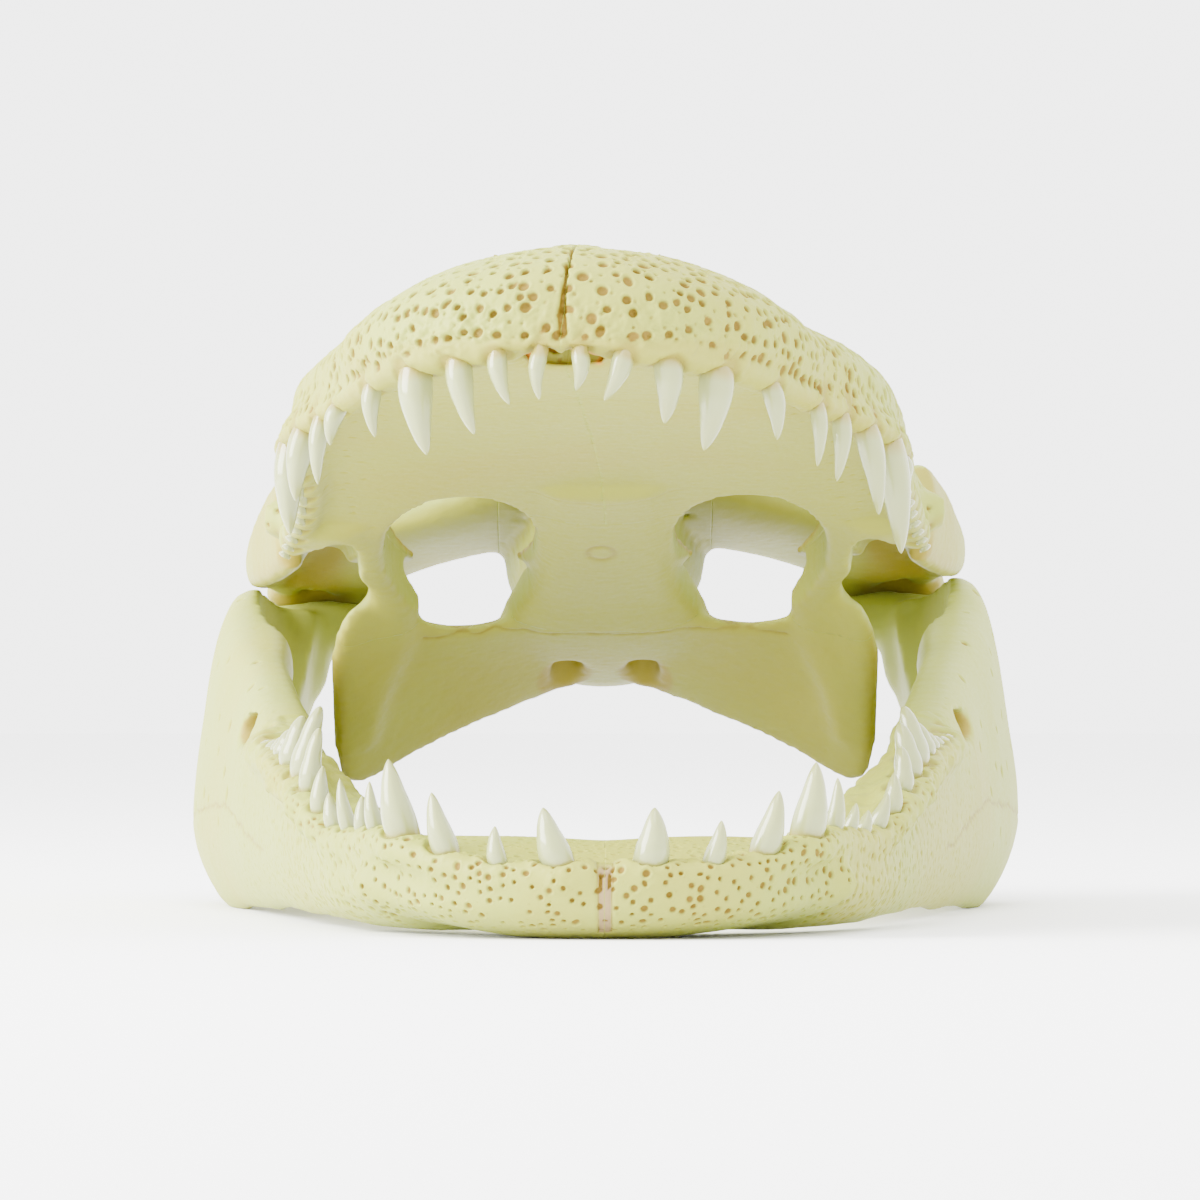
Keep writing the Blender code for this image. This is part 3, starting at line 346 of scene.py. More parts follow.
# Surfaces: arrays of points, of four-sided faces and of three-sided faces


def catmull_rom(rows, step):
    """A smooth curve through the rows of a table, about step apart in its first three columns."""
    rows = np.array(rows, float)
    out = []
    for i in range(len(rows) - 1):
        before = rows[max(i - 1, 0)]
        here, there = rows[i], rows[i + 1]
        after = rows[min(i + 2, len(rows) - 1)]
        count = max(1, math.ceil(np.abs(there - here)[:3].max() / step))
        t = (np.arange(count) / count)[:, None]
        out.append(0.5 * (
            2 * here + (there - before) * t + (2 * before - 5 * here + 4 * there - after) * t ** 2
            + (3 * here - before - 3 * there + after) * t ** 3))
    return np.concatenate(out + [rows[-1:]])


def power(value, exponent):
    """The size of the value raised to the power, with the value's own sign."""
    return np.sign(value) * np.abs(value) ** exponent


def circle(sides):
    """Evenly spaced angles once round, in radians."""
    return np.linspace(0, 2 * math.pi, sides, endpoint=False)


def loft(rings):
    """A closed skin: point (i, j) is point j of ring i; a fan to its centre closes each end."""
    rings = np.asarray(rings, float)
    count, sides = rings.shape[:2]
    i, j = np.meshgrid(np.arange(count - 1), np.arange(sides), indexing="ij")
    k = (j + 1) % sides
    quads = np.stack([i * sides + j, i * sides + k, (i + 1) * sides + k, (i + 1) * sides + j], axis=-1)
    first, last = rings[0].mean(axis=0), rings[-1].mean(axis=0)
    points = np.concatenate([rings.reshape(-1, 3), [first, last]])
    j = np.arange(sides)
    k = (j + 1) % sides
    start = np.stack([k, j, np.full(sides, count * sides)], axis=1)
    end = (count - 1) * sides
    stop = np.stack([end + j, end + k, np.full(sides, count * sides + 1)], axis=1)
    return points, quads.reshape(-1, 4), np.concatenate([start, stop])


def mirrored(solid):
    """The solid on the other side of x = 0, its faces wound the other way so that they point out."""
    points, quads, tris = solid
    return points * (-1, 1, 1), quads[:, ::-1], tris[:, ::-1]


def both_sides(*solids):
    """Each solid followed by its mirror image."""
    return [copy for solid in solids for copy in (solid, mirrored(solid))]


def combined(solids):
    """All solids in one set of arrays."""
    offsets = np.cumsum([0] + [len(points) for points, _, _ in solids])
    return (
        np.concatenate([points for points, _, _ in solids]),
        np.concatenate([quads + offset for (_, quads, _), offset in zip(solids, offsets)]),
        np.concatenate([tris + offset for (_, _, tris), offset in zip(solids, offsets)]),
    )


def bar(points, sides=24, step=5.0, squareness=2.4, up=(0, 0, 1)):
    """A rounded bar along points of x, y, z, width, height: superellipses square to a smooth path."""
    rows = catmull_rom(points, step)
    across = power(np.cos(circle(sides)), 2 / squareness)
    upward = power(np.sin(circle(sides)), 2 / squareness)
    ahead = np.gradient(rows[:, :3], axis=0)
    ahead /= np.linalg.norm(ahead, axis=1)[:, None]
    side = np.cross(ahead, np.array(up, float))
    side /= np.linalg.norm(side, axis=1)[:, None]
    lift = np.cross(side, ahead)
    return loft(
        rows[:, None, :3]
        + side[:, None, :] * (rows[:, 3, None] / 2 * across)[:, :, None]
        + lift[:, None, :] * (rows[:, 4, None] / 2 * upward)[:, :, None])


def ball(centre, radii, sides=24, rings=14):
    """An ellipsoid: circles whose radius is the sine of the angle down from the top."""
    down = np.linspace(0, math.pi, rings + 2)[1:-1, None]
    turn = circle(sides)[None, :]
    shape = np.stack([np.sin(down) * np.cos(turn), np.sin(down) * np.sin(turn),
                      np.cos(down) * np.ones_like(turn)], axis=-1)
    return loft(shape * np.array(radii, float) + np.array(centre, float))


# Bones of the cranium


def snout():
    """Sections with a dome above the widest line and a square-cornered palate below it."""
    lower = 5.0
    rows = catmull_rom(SNOUT_SECTIONS, 4.0)
    cos, sin = np.cos(circle(64)), np.sin(circle(64))
    v, half, widest, top, palate, square = (column[:, None] for column in rows.T)
    dome = sin >= 0
    x = np.where(dome, power(cos, 2 / square), power(cos, 2 / lower)) * half
    rise = (top - widest) * np.abs(sin) ** (2 / square)
    fall = (widest - palate) * np.abs(sin) ** (2 / lower)
    w = widest + np.where(dome, rise, -fall)
    return loft(np.stack([x, v * np.ones_like(x), w], axis=-1))


def socket_ridge():
    """A low bar along the upper teeth, a little wider than each of them."""
    path = [(x - 1.2, v, 2.6, width + 4.0, 9.0) for x, v, width, *_ in UPPER_TEETH[1:]]
    return both_sides(bar(path, sides=18))


def palatines():
    """A flat bar down the middle of the palate that widens at its back end."""
    return [bar(
        [(0, 170, 6, 36, 14), (0, 200, 6, 35, 15), (0, 240, 4, 36, 17), (0, 275, 1, 42, 18),
         (0, 300, -3, 54, 18), (0, 325, -6, 60, 16), (0, 345, -9, 52, 11), (0, 353, -11, 40, 7)],
        squareness=3.0)]


def pterygoid_wing():
    """A plate lofted across x; each row gives its front edge, back edge and thickness."""
    rows = catmull_rom(
        [(6, 288, -4, 352, -14, 8), (18, 292, -6, 353, -18, 7), (30, 298, -8, 353, -23.5, 6),
         (42, 300, -8.5, 353, -29, 5.5), (54, 294, -6.5, 352, -35.5, 6), (63, 284, -4.5, 351, -41, 7),
         (69, 284, -6, 349, -44, 8), (73, 292, -10, 345, -43, 8), (75.5, 304, -16, 338, -35, 5)],
        3.0)
    x, front_v, front_w, back_v, back_w, thick = (column[:, None] for column in rows.T)
    length = np.hypot(back_v - front_v, back_w - front_w)
    along_v, along_w = (back_v - front_v) / length, (back_w - front_w) / length
    reach = power(np.cos(circle(28)), 2 / 3.0) * length / 2
    depth = power(np.sin(circle(28)), 2 / 2.4) * thick / 2
    lift = depth + 3.0 * (1 - (2 * reach / length) ** 2)
    v = (front_v + back_v) / 2 + along_v * reach - along_w * lift
    w = (front_w + back_w) / 2 + along_w * reach + along_v * lift
    return both_sides(loft(np.stack([x * np.ones_like(v), v, w], axis=-1)))


def ectopterygoid():
    """The strut from beside the teeth back and down to the tip of the wing, and its brace to the cheek."""
    strut = bar(
        [(74, 214, 3, 22, 9), (70, 235, 2, 19, 9), (64, 255, 1, 15, 9), (58.5, 274, 0, 14, 10),
         (58, 290, -4, 15, 10), (62, 306, -13, 17, 9), (67, 320, -23, 15, 9), (69, 336, -34, 11, 8)])
    brace = bar([(64, 240, 2, 18, 8), (76, 240, 6, 18, 9), (88, 246, 11, 18, 12)])
    return both_sides(strut, brace)


def jugal():
    """The cheek bar under the eye socket, high and thin in front and rounder at the joint."""
    return both_sides(bar(
        [(85, 280, 18, 11, 28), (89.5, 300, 18.5, 10, 27), (94, 320, 18, 9, 21), (96.5, 340, 19.5, 8.5, 16),
         (97.5, 358, 22.5, 8.5, 15), (97, 376, 27, 9, 17), (94.5, 392, 31, 11, 19), (90, 404, 31, 14, 18)]))


def quadrate():
    """A broad ramp from the braincase to the jaw joint, its outer shelf and its cross-wise knuckle."""
    ramp = bar(
        [(14, 350, 43, 52, 24), (34, 364, 39.5, 48, 22), (54, 380, 36, 42, 17), (70, 394, 32, 38, 14),
         (80, 405, 28, 34, 13)],
        squareness=3.0)
    shelf = bar([(62, 364, 39, 22, 10), (78, 376, 35, 26, 10), (91, 386, 32, 26, 14)])
    across = 2 * CONDYLE_RADIUS
    knuckle = bar(
        [(62.5, 410, JOINT_W, 10, 10), (67, JOINT_V, JOINT_W, across, across),
         (80, JOINT_V, JOINT_W + 1, 11.6, 11.6), (91, JOINT_V, JOINT_W, across, across),
         (96.5, 410, JOINT_W + 1, 9, 9)],
        squareness=2.0, step=3.0)
    return both_sides(ramp, shelf, knuckle)


def eye_region():
    """Frontal, the raised rims of the eye sockets, and the posts before and behind them."""
    roof = bar(
        [(0, 205, 44, 60, 9), (0, 235, 49, 46, 10), (0, 255, 53, 31, 10), (0, 275, 54.5, 28, 10),
         (0, 295, 56, 32, 11), (0, 312, 58.5, 52, 12), (0, 325, 59.5, 80, 12)],
        squareness=3.4)
    rim = bar(
        [(36, 240, 53, 7, 6), (22, 250, 57, 7, 7), (15.5, 266, 59.5, 6.5, 7), (15.5, 284, 60.5, 6.5, 7),
         (20, 300, 61.5, 7, 7), (32, 311, 62, 8, 7), (44, 318, 60.5, 9, 8)])
    front_post = bar([(26, 243, 50, 12, 12), (19, 243, 32, 7, 9), (15, 242, 10, 9, 12)], up=(0, 1, 0))
    back_post = bar(
        [(43, 321, 58, 16, 14), (55, 316, 48, 9, 10), (68, 309, 36, 8, 9), (82, 301, 24, 12, 12)],
        up=(0, 1, 0.3))
    return [roof] + both_sides(rim, front_post, back_post)


def skull_table():
    """The flat square-edged plate on top of the skull and the two horns at its back corners."""
    table = bar(
        [(0, 311, 58, 66, 9), (0, 320, 58.5, 84, 13), (0, 340, 59, 92, 14), (0, 362, 59.5, 98, 14),
         (0, 382, 59.5, 103, 14), (0, 392, 59, 104, 12), (0, 396, 58.5, 98, 8)],
        squareness=7.0, sides=40)
    horn = bar([(44, 376, 58, 16, 13), (48, 390, 56.5, 14, 12), (51, 402, 53, 9, 8)])
    return [table] + both_sides(horn)


def braincase():
    """The box of the brain, the plate at the back of it, the bone below it and the knob of the neck."""
    walls = bar(
        [(0, 302, 47, 16, 22), (0, 318, 43, 24, 32), (0, 340, 36, 38, 46), (0, 362, 32, 50, 50),
         (0, 380, 31, 58, 50), (0, 390, 32, 54, 46)],
        squareness=2.8)
    occiput = bar(
        [(-47, 386, 44, 15, 18), (-25, 386, 43, 16, 26), (0, 386, 42, 16, 34), (25, 386, 43, 16, 26),
         (47, 386, 44, 15, 18)],
        squareness=3.0)
    base = bar(
        [(0, 391, 24, 34, 14), (0, 386, 12, 38, 16), (0, 374, 0, 30, 22), (0, 352, -9, 30, 12)],
        squareness=2.8)
    return [walls, occiput, base, ball((0, 397, 30), (10, 10, 8.5))]


# The hollow behind the snout: x, v, w, width, height.
CHAMBER = [
    (0, 180, 22, 60, 8), (0, 190, 22, 104, 20), (0, 215, 24, 130, 32), (0, 240, 25, 138, 38),
    (0, 265, 26, 142, 40), (0, 290, 26, 148, 42), (0, 315, 26, 152, 44),
]


def chamber():
    """Superellipses of power 2.3 along the midline, as wide and high as the table says."""
    return bar(CHAMBER, squareness=2.3, sides=44)


def upright_hole(turn_to_x, turn_to_v, low, high, tilt=(0, 0)):
    """A hole straight up: an outline at its lower end and the same outline, shifted, at its upper."""
    outline = np.stack([turn_to_x, turn_to_v], axis=1)
    down = np.column_stack([outline + np.array(tilt), np.full(len(outline), low)])
    top = np.column_stack([outline, np.full(len(outline), high)])
    return both_sides(loft([down, top]))


def palate_window():
    """An egg-shaped outline, its rear end drawn in toward the midline."""
    along, across = np.cos(circle(48)), np.sin(circle(48))
    x = 39 + 20.5 * power(across, 0.85) + 2.5 * along - 5 * np.maximum(0, along) ** 2 * across
    return upright_hole(x, 240 + 58 * along, -30, 18)


def eye_socket():
    """An oval outline, drawn in a little toward its lower end."""
    along, across = np.cos(circle(48)), np.sin(circle(48))
    return upright_hole(37.5 + 23.5 * power(across, 0.9) + 2.5 * along, 279 + 31 * along, 22, 90, (1, -2))


def jaw_muscle_opening():
    """The opening behind the tooth row, between cheek and palate."""
    along, across = np.cos(circle(36)), np.sin(circle(36))
    return upright_hole(74.5 + 7.5 * across + 3.5 * along, 267 + 45 * along, -4, 14)


def cranium_openings():
    """Paired openings, then the hole behind the front teeth and the one for the spinal cord."""
    table_opening = bar(
        [(22, 353, 75, 19, 25), (22, 353, 55, 19, 25), (30, 350, 34, 20, 26)], up=(0, 1, 0), squareness=2.2)
    nostril = bar(
        [(11, 37, 50, 17, 30), (11, 38, 30, 17, 29), (9, 46, 19, 13, 22)], up=(0, 1, 0), squareness=2.2)
    inner_nostril = bar(
        [(10.8, 347, -27, 9, 12), (10.8, 338, -14, 9, 12), (9.5, 326, -8, 6, 8)], up=(0, 1, 0.2),
        squareness=2.2)
    incisive = bar([(0, 9, -6, 12, 6), (0, 14, 2, 20, 14), (0, 22, 9, 15, 12)], step=3)
    spinal = bar([(0, 402, 44.5, 17, 11), (0, 380, 44.5, 14, 10), (0, 350, 44, 10, 9)])
    return (palate_window() + eye_socket() + jaw_muscle_opening()
            + both_sides(table_opening, nostril, inner_nostril) + [incisive, spinal])


# Bones of the lower jaw, right half


def jaw_half():
    """Sections between an inner and an outer face, leaning inward behind the tooth row."""
    rows = catmull_rom(JAW_SECTIONS, 4.0)
    s, inner, outer, under, top = (column[:, None] for column in rows.T)
    turn = circle(40)
    crest = CREST_SQUARENESS + CREST_GAIN * np.clip((s - CREST_FROM) / CREST_REACH, 0, 1)
    square = np.where(np.sin(turn) < 0, KEEL_SQUARENESS, crest)
    across, upward = power(np.cos(turn), 2 / square), power(np.sin(turn), 2 / square)
    z = (under + top) / 2 + (top - under) / 2 * upward
    above, below = np.maximum(z - WIDEST_HEIGHT, 0), np.maximum(WIDEST_HEIGHT - z, 0)
    inward = np.clip((s - LEAN_FROM) / LEAN_REACH, 0, 1) * (JAW_LEAN * above + JAW_TUCK * below)
    x = (inner + outer) / 2 + (outer - inner) / 2 * across - inward
    return [loft(np.stack([x, s * np.ones_like(x), z], axis=-1))]


def articular():
    """The cross-wise block that carries the joint, the hook behind it and the flange inside."""
    return [
        bar([(59, 413, 79, 19, 11), (71, 413, 79, 25, 14), (83, 412, 78, 28, 19), (94, 408, 70, 29, 36),
             (102, 402, 66, 20, 38)], squareness=2.3),
        bar([(100, 372, 38, 14, 44), (98, 392, 46, 17, 44), (96, 410, 57, 19, 38), (92, 426, 69, 22, 28),
             (87, 440, 79, 19, 18), (83, JAW_LENGTH - 2, 86, 10, 9)]),
        bar([(72, 410, 79, 20, 11), (76, 426, 80, 24, 9), (82, 442, 84, 16, 8)]),
    ]


def lower_socket_ridge():
    """The bone that holds the teeth, with a broad inner shelf behind the tenth of them."""
    path = [(2, 6, 15.5, 14, 9)]
    for x, s, z, width, *_ in LOWER_TEETH:
        shelf = min(SHELF_MOST, max(0.0, (s - SHELF_FROM) / SHELF_REACH))
        path.append((x - 2.5 * shelf, s, z - 1.5 - shelf, width + 6 + 5 * shelf, 9 + 2 * shelf))
    return [bar(path, sides=18)]


def wall_window():
    """The window through the outer wall: an outline with a pointed front and back, drawn out across."""
    along, upward = np.cos(circle(36)), power(np.sin(circle(36)), 1.5)
    s, z = WINDOW_S + WINDOW_HALF * along, WINDOW_Z + WINDOW_RISE * upward
    return loft([np.column_stack([np.full(len(s), x), s, z]) for x in (WINDOW_INSIDE, WINDOW_OUTSIDE)])


def jaw_openings():
    """Muscle trough, the window in the outer wall, and the groove that the upper jaw turns in."""
    return [
        bar([(90, 304, 52, 5, 20), (92.5, 330, 48, 8, 40), (94, 355, 50, 8, 44), (93, 378, 58, 7, 36)],
            squareness=3.0),
        bar([(77, 286, 84, 10, 20), (77, 300, 90, 20, 44), (77, 320, 96, 30, 70), (79, 345, 100, 34, 90),
             (80, 372, 102, 34, 94), (78, 396, 102, 30, 44)], squareness=3.4),
        wall_window(),
        bar([(54, JOINT_S, JOINT_Z, 17, 16), (67, JOINT_S, JOINT_Z, 17, 16),
             (80, JOINT_S, JOINT_Z + 1, 15, 13.6), (91, JOINT_S, JOINT_Z, 17, 16),
             (100, JOINT_S, JOINT_Z + 1, 15, 13)], squareness=2.0, step=3.0),
        bar([(54, JOINT_S, JOINT_Z + 16, 18, 32), (99, JOINT_S, JOINT_Z + 16, 18, 32)], squareness=4.0),
    ]


# Meshes


def mesh_of(name, solid):
    """A mesh from arrays of points in millimetres, of four-sided and of three-sided faces."""
    points, quads, tris = solid
    mesh = bpy.data.meshes.new(name)
    corners = np.concatenate([quads.ravel(), tris.ravel()]).astype(np.int32)
    starts = np.concatenate([np.arange(len(quads)) * 4, len(quads) * 4 + np.arange(len(tris)) * 3])
    mesh.vertices.add(len(points))
    mesh.vertices.foreach_set("co", (points * MM).astype(np.float32).ravel())
    mesh.loops.add(len(corners))
    mesh.loops.foreach_set("vertex_index", corners)
    mesh.polygons.add(len(starts))
    mesh.polygons.foreach_set("loop_start", starts.astype(np.int32))
    mesh.update(calc_edges=True)
    return mesh


def new_object(name, data):
    """An object in the scene, at the origin, unturned and unscaled."""
    obj = bpy.data.objects.new(name, data)
    bpy.context.scene.collection.objects.link(obj)
    return obj


def drop(obj):
    """Takes the object and its mesh out of the file."""
    mesh = obj.data
    bpy.data.objects.remove(obj)
    bpy.data.meshes.remove(mesh)


def settle(obj):
    """Replaces the object's mesh by what its modifiers make of it."""
    graph = bpy.context.evaluated_depsgraph_get()
    graph.update()
    mesh = bpy.data.meshes.new_from_object(obj.evaluated_get(graph))
    old = obj.data
    obj.modifiers.clear()
    obj.data = mesh
    bpy.data.meshes.remove(old)
    return obj


def grown(obj, voxel, rounds):
    """Grows overlapping pieces into one soft form."""
    remesh = obj.modifiers.new("grow", "REMESH")
    remesh.mode = "VOXEL"
    remesh.voxel_size = voxel
    if rounds:
        soften = obj.modifiers.new("soften", "SMOOTH")
        soften.factor = 0.5
        soften.iterations = rounds
    return settle(obj)


def cut(obj, other, operation="DIFFERENCE"):
    """Cuts the object by another, or keeps what both share."""
    modifier = obj.modifiers.new("cut", "BOOLEAN")
    modifier.operation = operation
    modifier.object = other
    modifier.solver = "MANIFOLD"
    settle(obj)
    drop(other)
    return obj


def block(low, high):
    """A box between two corners, in millimetres."""
    (x0, y0, z0), (x1, y1, z1) = low, high
    points = np.array([(x, y, z) for x in (x0, x1) for y in (y0, y1) for z in (z0, z1)], float)
    quads = np.array([(0, 1, 3, 2), (4, 6, 7, 5), (0, 4, 5, 1), (2, 3, 7, 6), (0, 2, 6, 4), (1, 5, 7, 3)])
    return points, quads, np.zeros((0, 3), int)


def read(elements, key, width, kind=np.float32):
    """One property of all vertices, edges or normals as an array with a row for each."""
    flat = np.empty(len(elements) * width, kind)
    elements.foreach_get(key, flat)
    return flat.reshape(-1, width)


def points_of(mesh):
    """The place of every vertex, in metres."""
    return read(mesh.vertices, "co", 3).astype(float)


def put_points(mesh, points):
    """Moves every vertex to its new place, in metres."""
    mesh.vertices.foreach_set("co", points.astype(np.float32).ravel())
    mesh.update()


def normals_of(mesh):
    """The smooth normal of every vertex."""
    return read(mesh.vertex_normals, "vector", 3).astype(float)


def edges_of(mesh):
    """The two vertices of every edge."""
    return read(mesh.edges, "vertices", 2, np.int32)


def keep_values(mesh, name, values, kind="FLOAT"):
    """Stores one value a vertex under a name that a material can read."""
    layer = mesh.attributes.new(name, kind, "POINT")
    key = "vector" if kind == "FLOAT_VECTOR" else "value"
    layer.data.foreach_set(key, np.asarray(values, np.float32).ravel())


def edited(mesh, change):
    """Opens a mesh for editing, lets the function change it and writes it back."""
    work = bmesh.new()
    work.from_mesh(mesh)
    change(work)
    work.to_mesh(mesh)
    work.free()


def largest_part(obj):
    """Leaves only the connected part with the most vertices, found by spreading the lowest index."""
    edges = edges_of(obj.data)
    label = np.arange(len(obj.data.vertices))
    while True:
        low = np.minimum(label[edges[:, 0]], label[edges[:, 1]])
        new = label.copy()
        np.minimum.at(new, edges[:, 0], low)
        np.minimum.at(new, edges[:, 1], low)
        new = new[new]
        new = new[new]
        if np.array_equal(new, label):
            break
        label = new
    values, counts = np.unique(label, return_counts=True)
    if len(values) == 1:
        return
    wrong = np.flatnonzero(label != values[counts.argmax()]).tolist()

    def delete(work):
        work.verts.ensure_lookup_table()
        bmesh.ops.delete(work, geom=[work.verts[i] for i in wrong], context="VERTS")

    edited(obj.data, delete)


def refined(obj, inside):
    """Splits every face whose corners all pass the test into four, its neighbours to fit."""
    chosen = inside(points_of(obj.data) / MM).tolist()

    def split(work):
        for vert, flag in zip(work.verts, chosen):
            vert.select = flag
        edges = [edge for edge in work.edges if edge.verts[0].select and edge.verts[1].select]
        bmesh.ops.subdivide_edges(work, edges=edges, cuts=1, use_grid_fill=True, smooth=0.0)
        for part in (work.verts, work.edges, work.faces):
            for element in part:
                element.select = False

    edited(obj.data, split)


# Relief: whole arrays of vertices at once, in millimetres


def smooth_step(low, high, value):
    """0 below low, 1 above high, and 3 t^2 - 2 t^3 between, where t is the share of the way."""
    t = np.clip((value - low) / (high - low), 0, 1)
    return t * t * (3 - 2 * t)


def fade(low, high, value):
    """1 below low, 0 above high."""
    return 1 - smooth_step(low, high, value)


def lattice_noise(points, cell, seed):
    """Smooth noise from -1 to 1: random values at the corners of cubes, blended by a smooth step."""
    size = 64
    grid = np.random.default_rng(seed).uniform(-1, 1, (size, size, size))
    scaled = points / cell
    low = np.floor(scaled).astype(int)
    part = scaled - low
    part = part * part * (3 - 2 * part)
    low, high = low % size, (low + 1) % size
    total = np.zeros(len(points))
    for corner in range(8):
        pick = [(corner >> axis) & 1 for axis in range(3)]
        weight = np.ones(len(points))
        for axis in range(3):
            weight = weight * (part[:, axis] if pick[axis] else 1 - part[:, axis])
        index = [high[:, axis] if pick[axis] else low[:, axis] for axis in range(3)]
        total += weight * grid[index[0], index[1], index[2]]
    return total


def rough_noise(points, cell, seed, octaves=3):
    """Noise on noise: each layer has half the cell and half the height of the one before."""
    layers = [lattice_noise(points, cell / 2 ** i, seed + i) / 2 ** i for i in range(octaves)]
    return sum(layers)


def cube_keys(cells):
    """One whole number for each cube, from its three whole coordinates."""
    span = 4096
    return (cells[..., 0] * span + cells[..., 1]) * span + cells[..., 2]


def close_pairs(points, centres, reach):
    """Each pair of a centre and a point closer than reach, found through cubes of that side."""
    low = points.min(axis=0) - 2 * reach
    keys = cube_keys(np.floor((points - low) / reach).astype(np.int64))
    order = np.argsort(keys, kind="stable")
    keys = keys[order]
    steps = np.array([(i, j, k) for i in (-1, 0, 1) for j in (-1, 0, 1) for k in (-1, 0, 1)])
    home = np.floor((centres - low) / reach).astype(np.int64)
    wanted = cube_keys(home[:, None, :] + steps[None]).ravel()
    start = np.searchsorted(keys, wanted, "left")
    count = np.searchsorted(keys, wanted, "right") - start
    centre = np.repeat(np.repeat(np.arange(len(centres)), len(steps)), count)
    within = np.arange(count.sum()) - np.repeat(np.cumsum(count) - count, count)
    point = order[np.repeat(start, count) + within]
    distance = np.linalg.norm(points[point] - centres[centre], axis=1)
    near = distance < reach
    return centre[near], point[near], distance[near]


def scattered(points, allowed, spacing, rng):
    """Centres on the surface: one vertex from each cube of the given side, none too near another."""
    index = rng.permutation(np.flatnonzero(allowed))
    if not len(index):
        return index
    keys = cube_keys(np.floor((points[index] + 500.0) / spacing).astype(np.int64))
    chosen = index[np.unique(keys, return_index=True)[1]]
    chosen = rng.permutation(chosen)
    one, other, _ = close_pairs(points[chosen], points[chosen], LEAST_APART * spacing)
    return np.delete(chosen, np.unique(one[other < one]))


def pits(points, weight, spacing, radii, seed, edge=0.5):
    """Hollows with a flat bottom and a steep wall, some drawn out: their depth from 0 to 1 and a low rim."""
    rng = np.random.default_rng(seed)
    chosen = scattered(points, rng.uniform(size=len(points)) < weight, spacing, rng)
    depth, rim = np.zeros(len(points)), np.zeros(len(points))
    if not len(chosen):
        return depth, rim
    radius = rng.uniform(0, 1, len(chosen)) ** PIT_SMALLNESS * (radii[1] - radii[0]) + radii[0]
    radius *= 0.7 + 0.3 * weight[chosen]
    strength = rng.uniform(*PIT_STRENGTH, len(chosen)) * weight[chosen] ** 0.4
    stretch = 1 + PIT_STRETCH * rng.uniform(0, 1, len(chosen)) ** 3
    axis = rng.normal(size=(len(chosen), 3))
    axis /= np.linalg.norm(axis, axis=1)[:, None]
    centre, point, distance = close_pairs(points, points[chosen], radii[1] * PIT_REACH)
    along = ((points[point] - points[chosen][centre]) * axis[centre]).sum(axis=1)
    drawn = np.sqrt(np.maximum(distance ** 2 - (1 - stretch[centre] ** -2) * along ** 2, 0))
    share = drawn / radius[centre]
    np.maximum.at(depth, point, strength[centre] * fade(edge, PIT_EDGE, share))
    np.maximum.at(rim, point, strength[centre] * line_groove(share - RIM_PLACE, RIM_WIDTH))
    return depth, rim


def line_groove(offset, width):
    """From 1 on a line to 0 beyond its width; offset is the distance from the line."""
    return np.exp(-(offset / width) ** 2)


def hollow_measure(points, normals, edges):
    """How far each vertex lies under the mean of its surroundings, after a few rounds of averaging."""
    count = np.bincount(edges.ravel(), minlength=len(points)).astype(float)
    mean = points.copy()
    for _ in range(HOLLOW_ROUNDS):
        for axis in range(3):
            column = mean[:, axis]
            total = np.bincount(edges[:, 0], column[edges[:, 1]], len(points))
            total += np.bincount(edges[:, 1], column[edges[:, 0]], len(points))
            mean[:, axis] = total / np.maximum(count, 1)
    return ((mean - points) * normals).sum(axis=1)


def socket_relief(points, teeth):
    """Round every tooth a raised collar of bone and, inside it, a gap that is drawn darker."""
    rise, gap = np.zeros(len(points)), np.zeros(len(points))
    for base, tip, width in teeth:
        axis = tip - base
        axis /= np.linalg.norm(axis)
        away = points - base
        along = away @ axis
        near = (np.abs(away) < SOCKET_REACH).all(axis=1) & (along > SOCKET_DOWN) & (along < SOCKET_UP)
        across = np.linalg.norm(away[near] - along[near, None] * axis, axis=1)
        half = width / 2
        rise[near] = np.maximum(rise[near], line_groove(across - half - COLLAR_PLACE, COLLAR_WIDTH))
        gap[near] = np.maximum(gap[near], fade(half + GAP_FROM, half + GAP_TO, across))
    return rise, gap


# Where things lie on the cranium, in its own frame


def tooth_rows(kind, hand):
    """Socket, tip and width of each tooth of one side."""
    out = []
    side = 1 if hand > 0 else 0
    if kind == "upper":
        for x, v, width, *rest in UPPER_TEETH:
            length, lean = rest[side], rest[2 + side]
            out.append((np.array((hand * x, v, 0.5)),
                        np.array((hand * (x - lean), v + 0.12 * length, -length)), width))
    else:
        for x, s, z, width, *rest in LOWER_TEETH:
            length, lean = rest[side], rest[2 + side]
            out.append((np.array((hand * x, s, z)),
                        np.array((hand * (x + lean), s - 0.05 * length, z + length)), width))
    return out


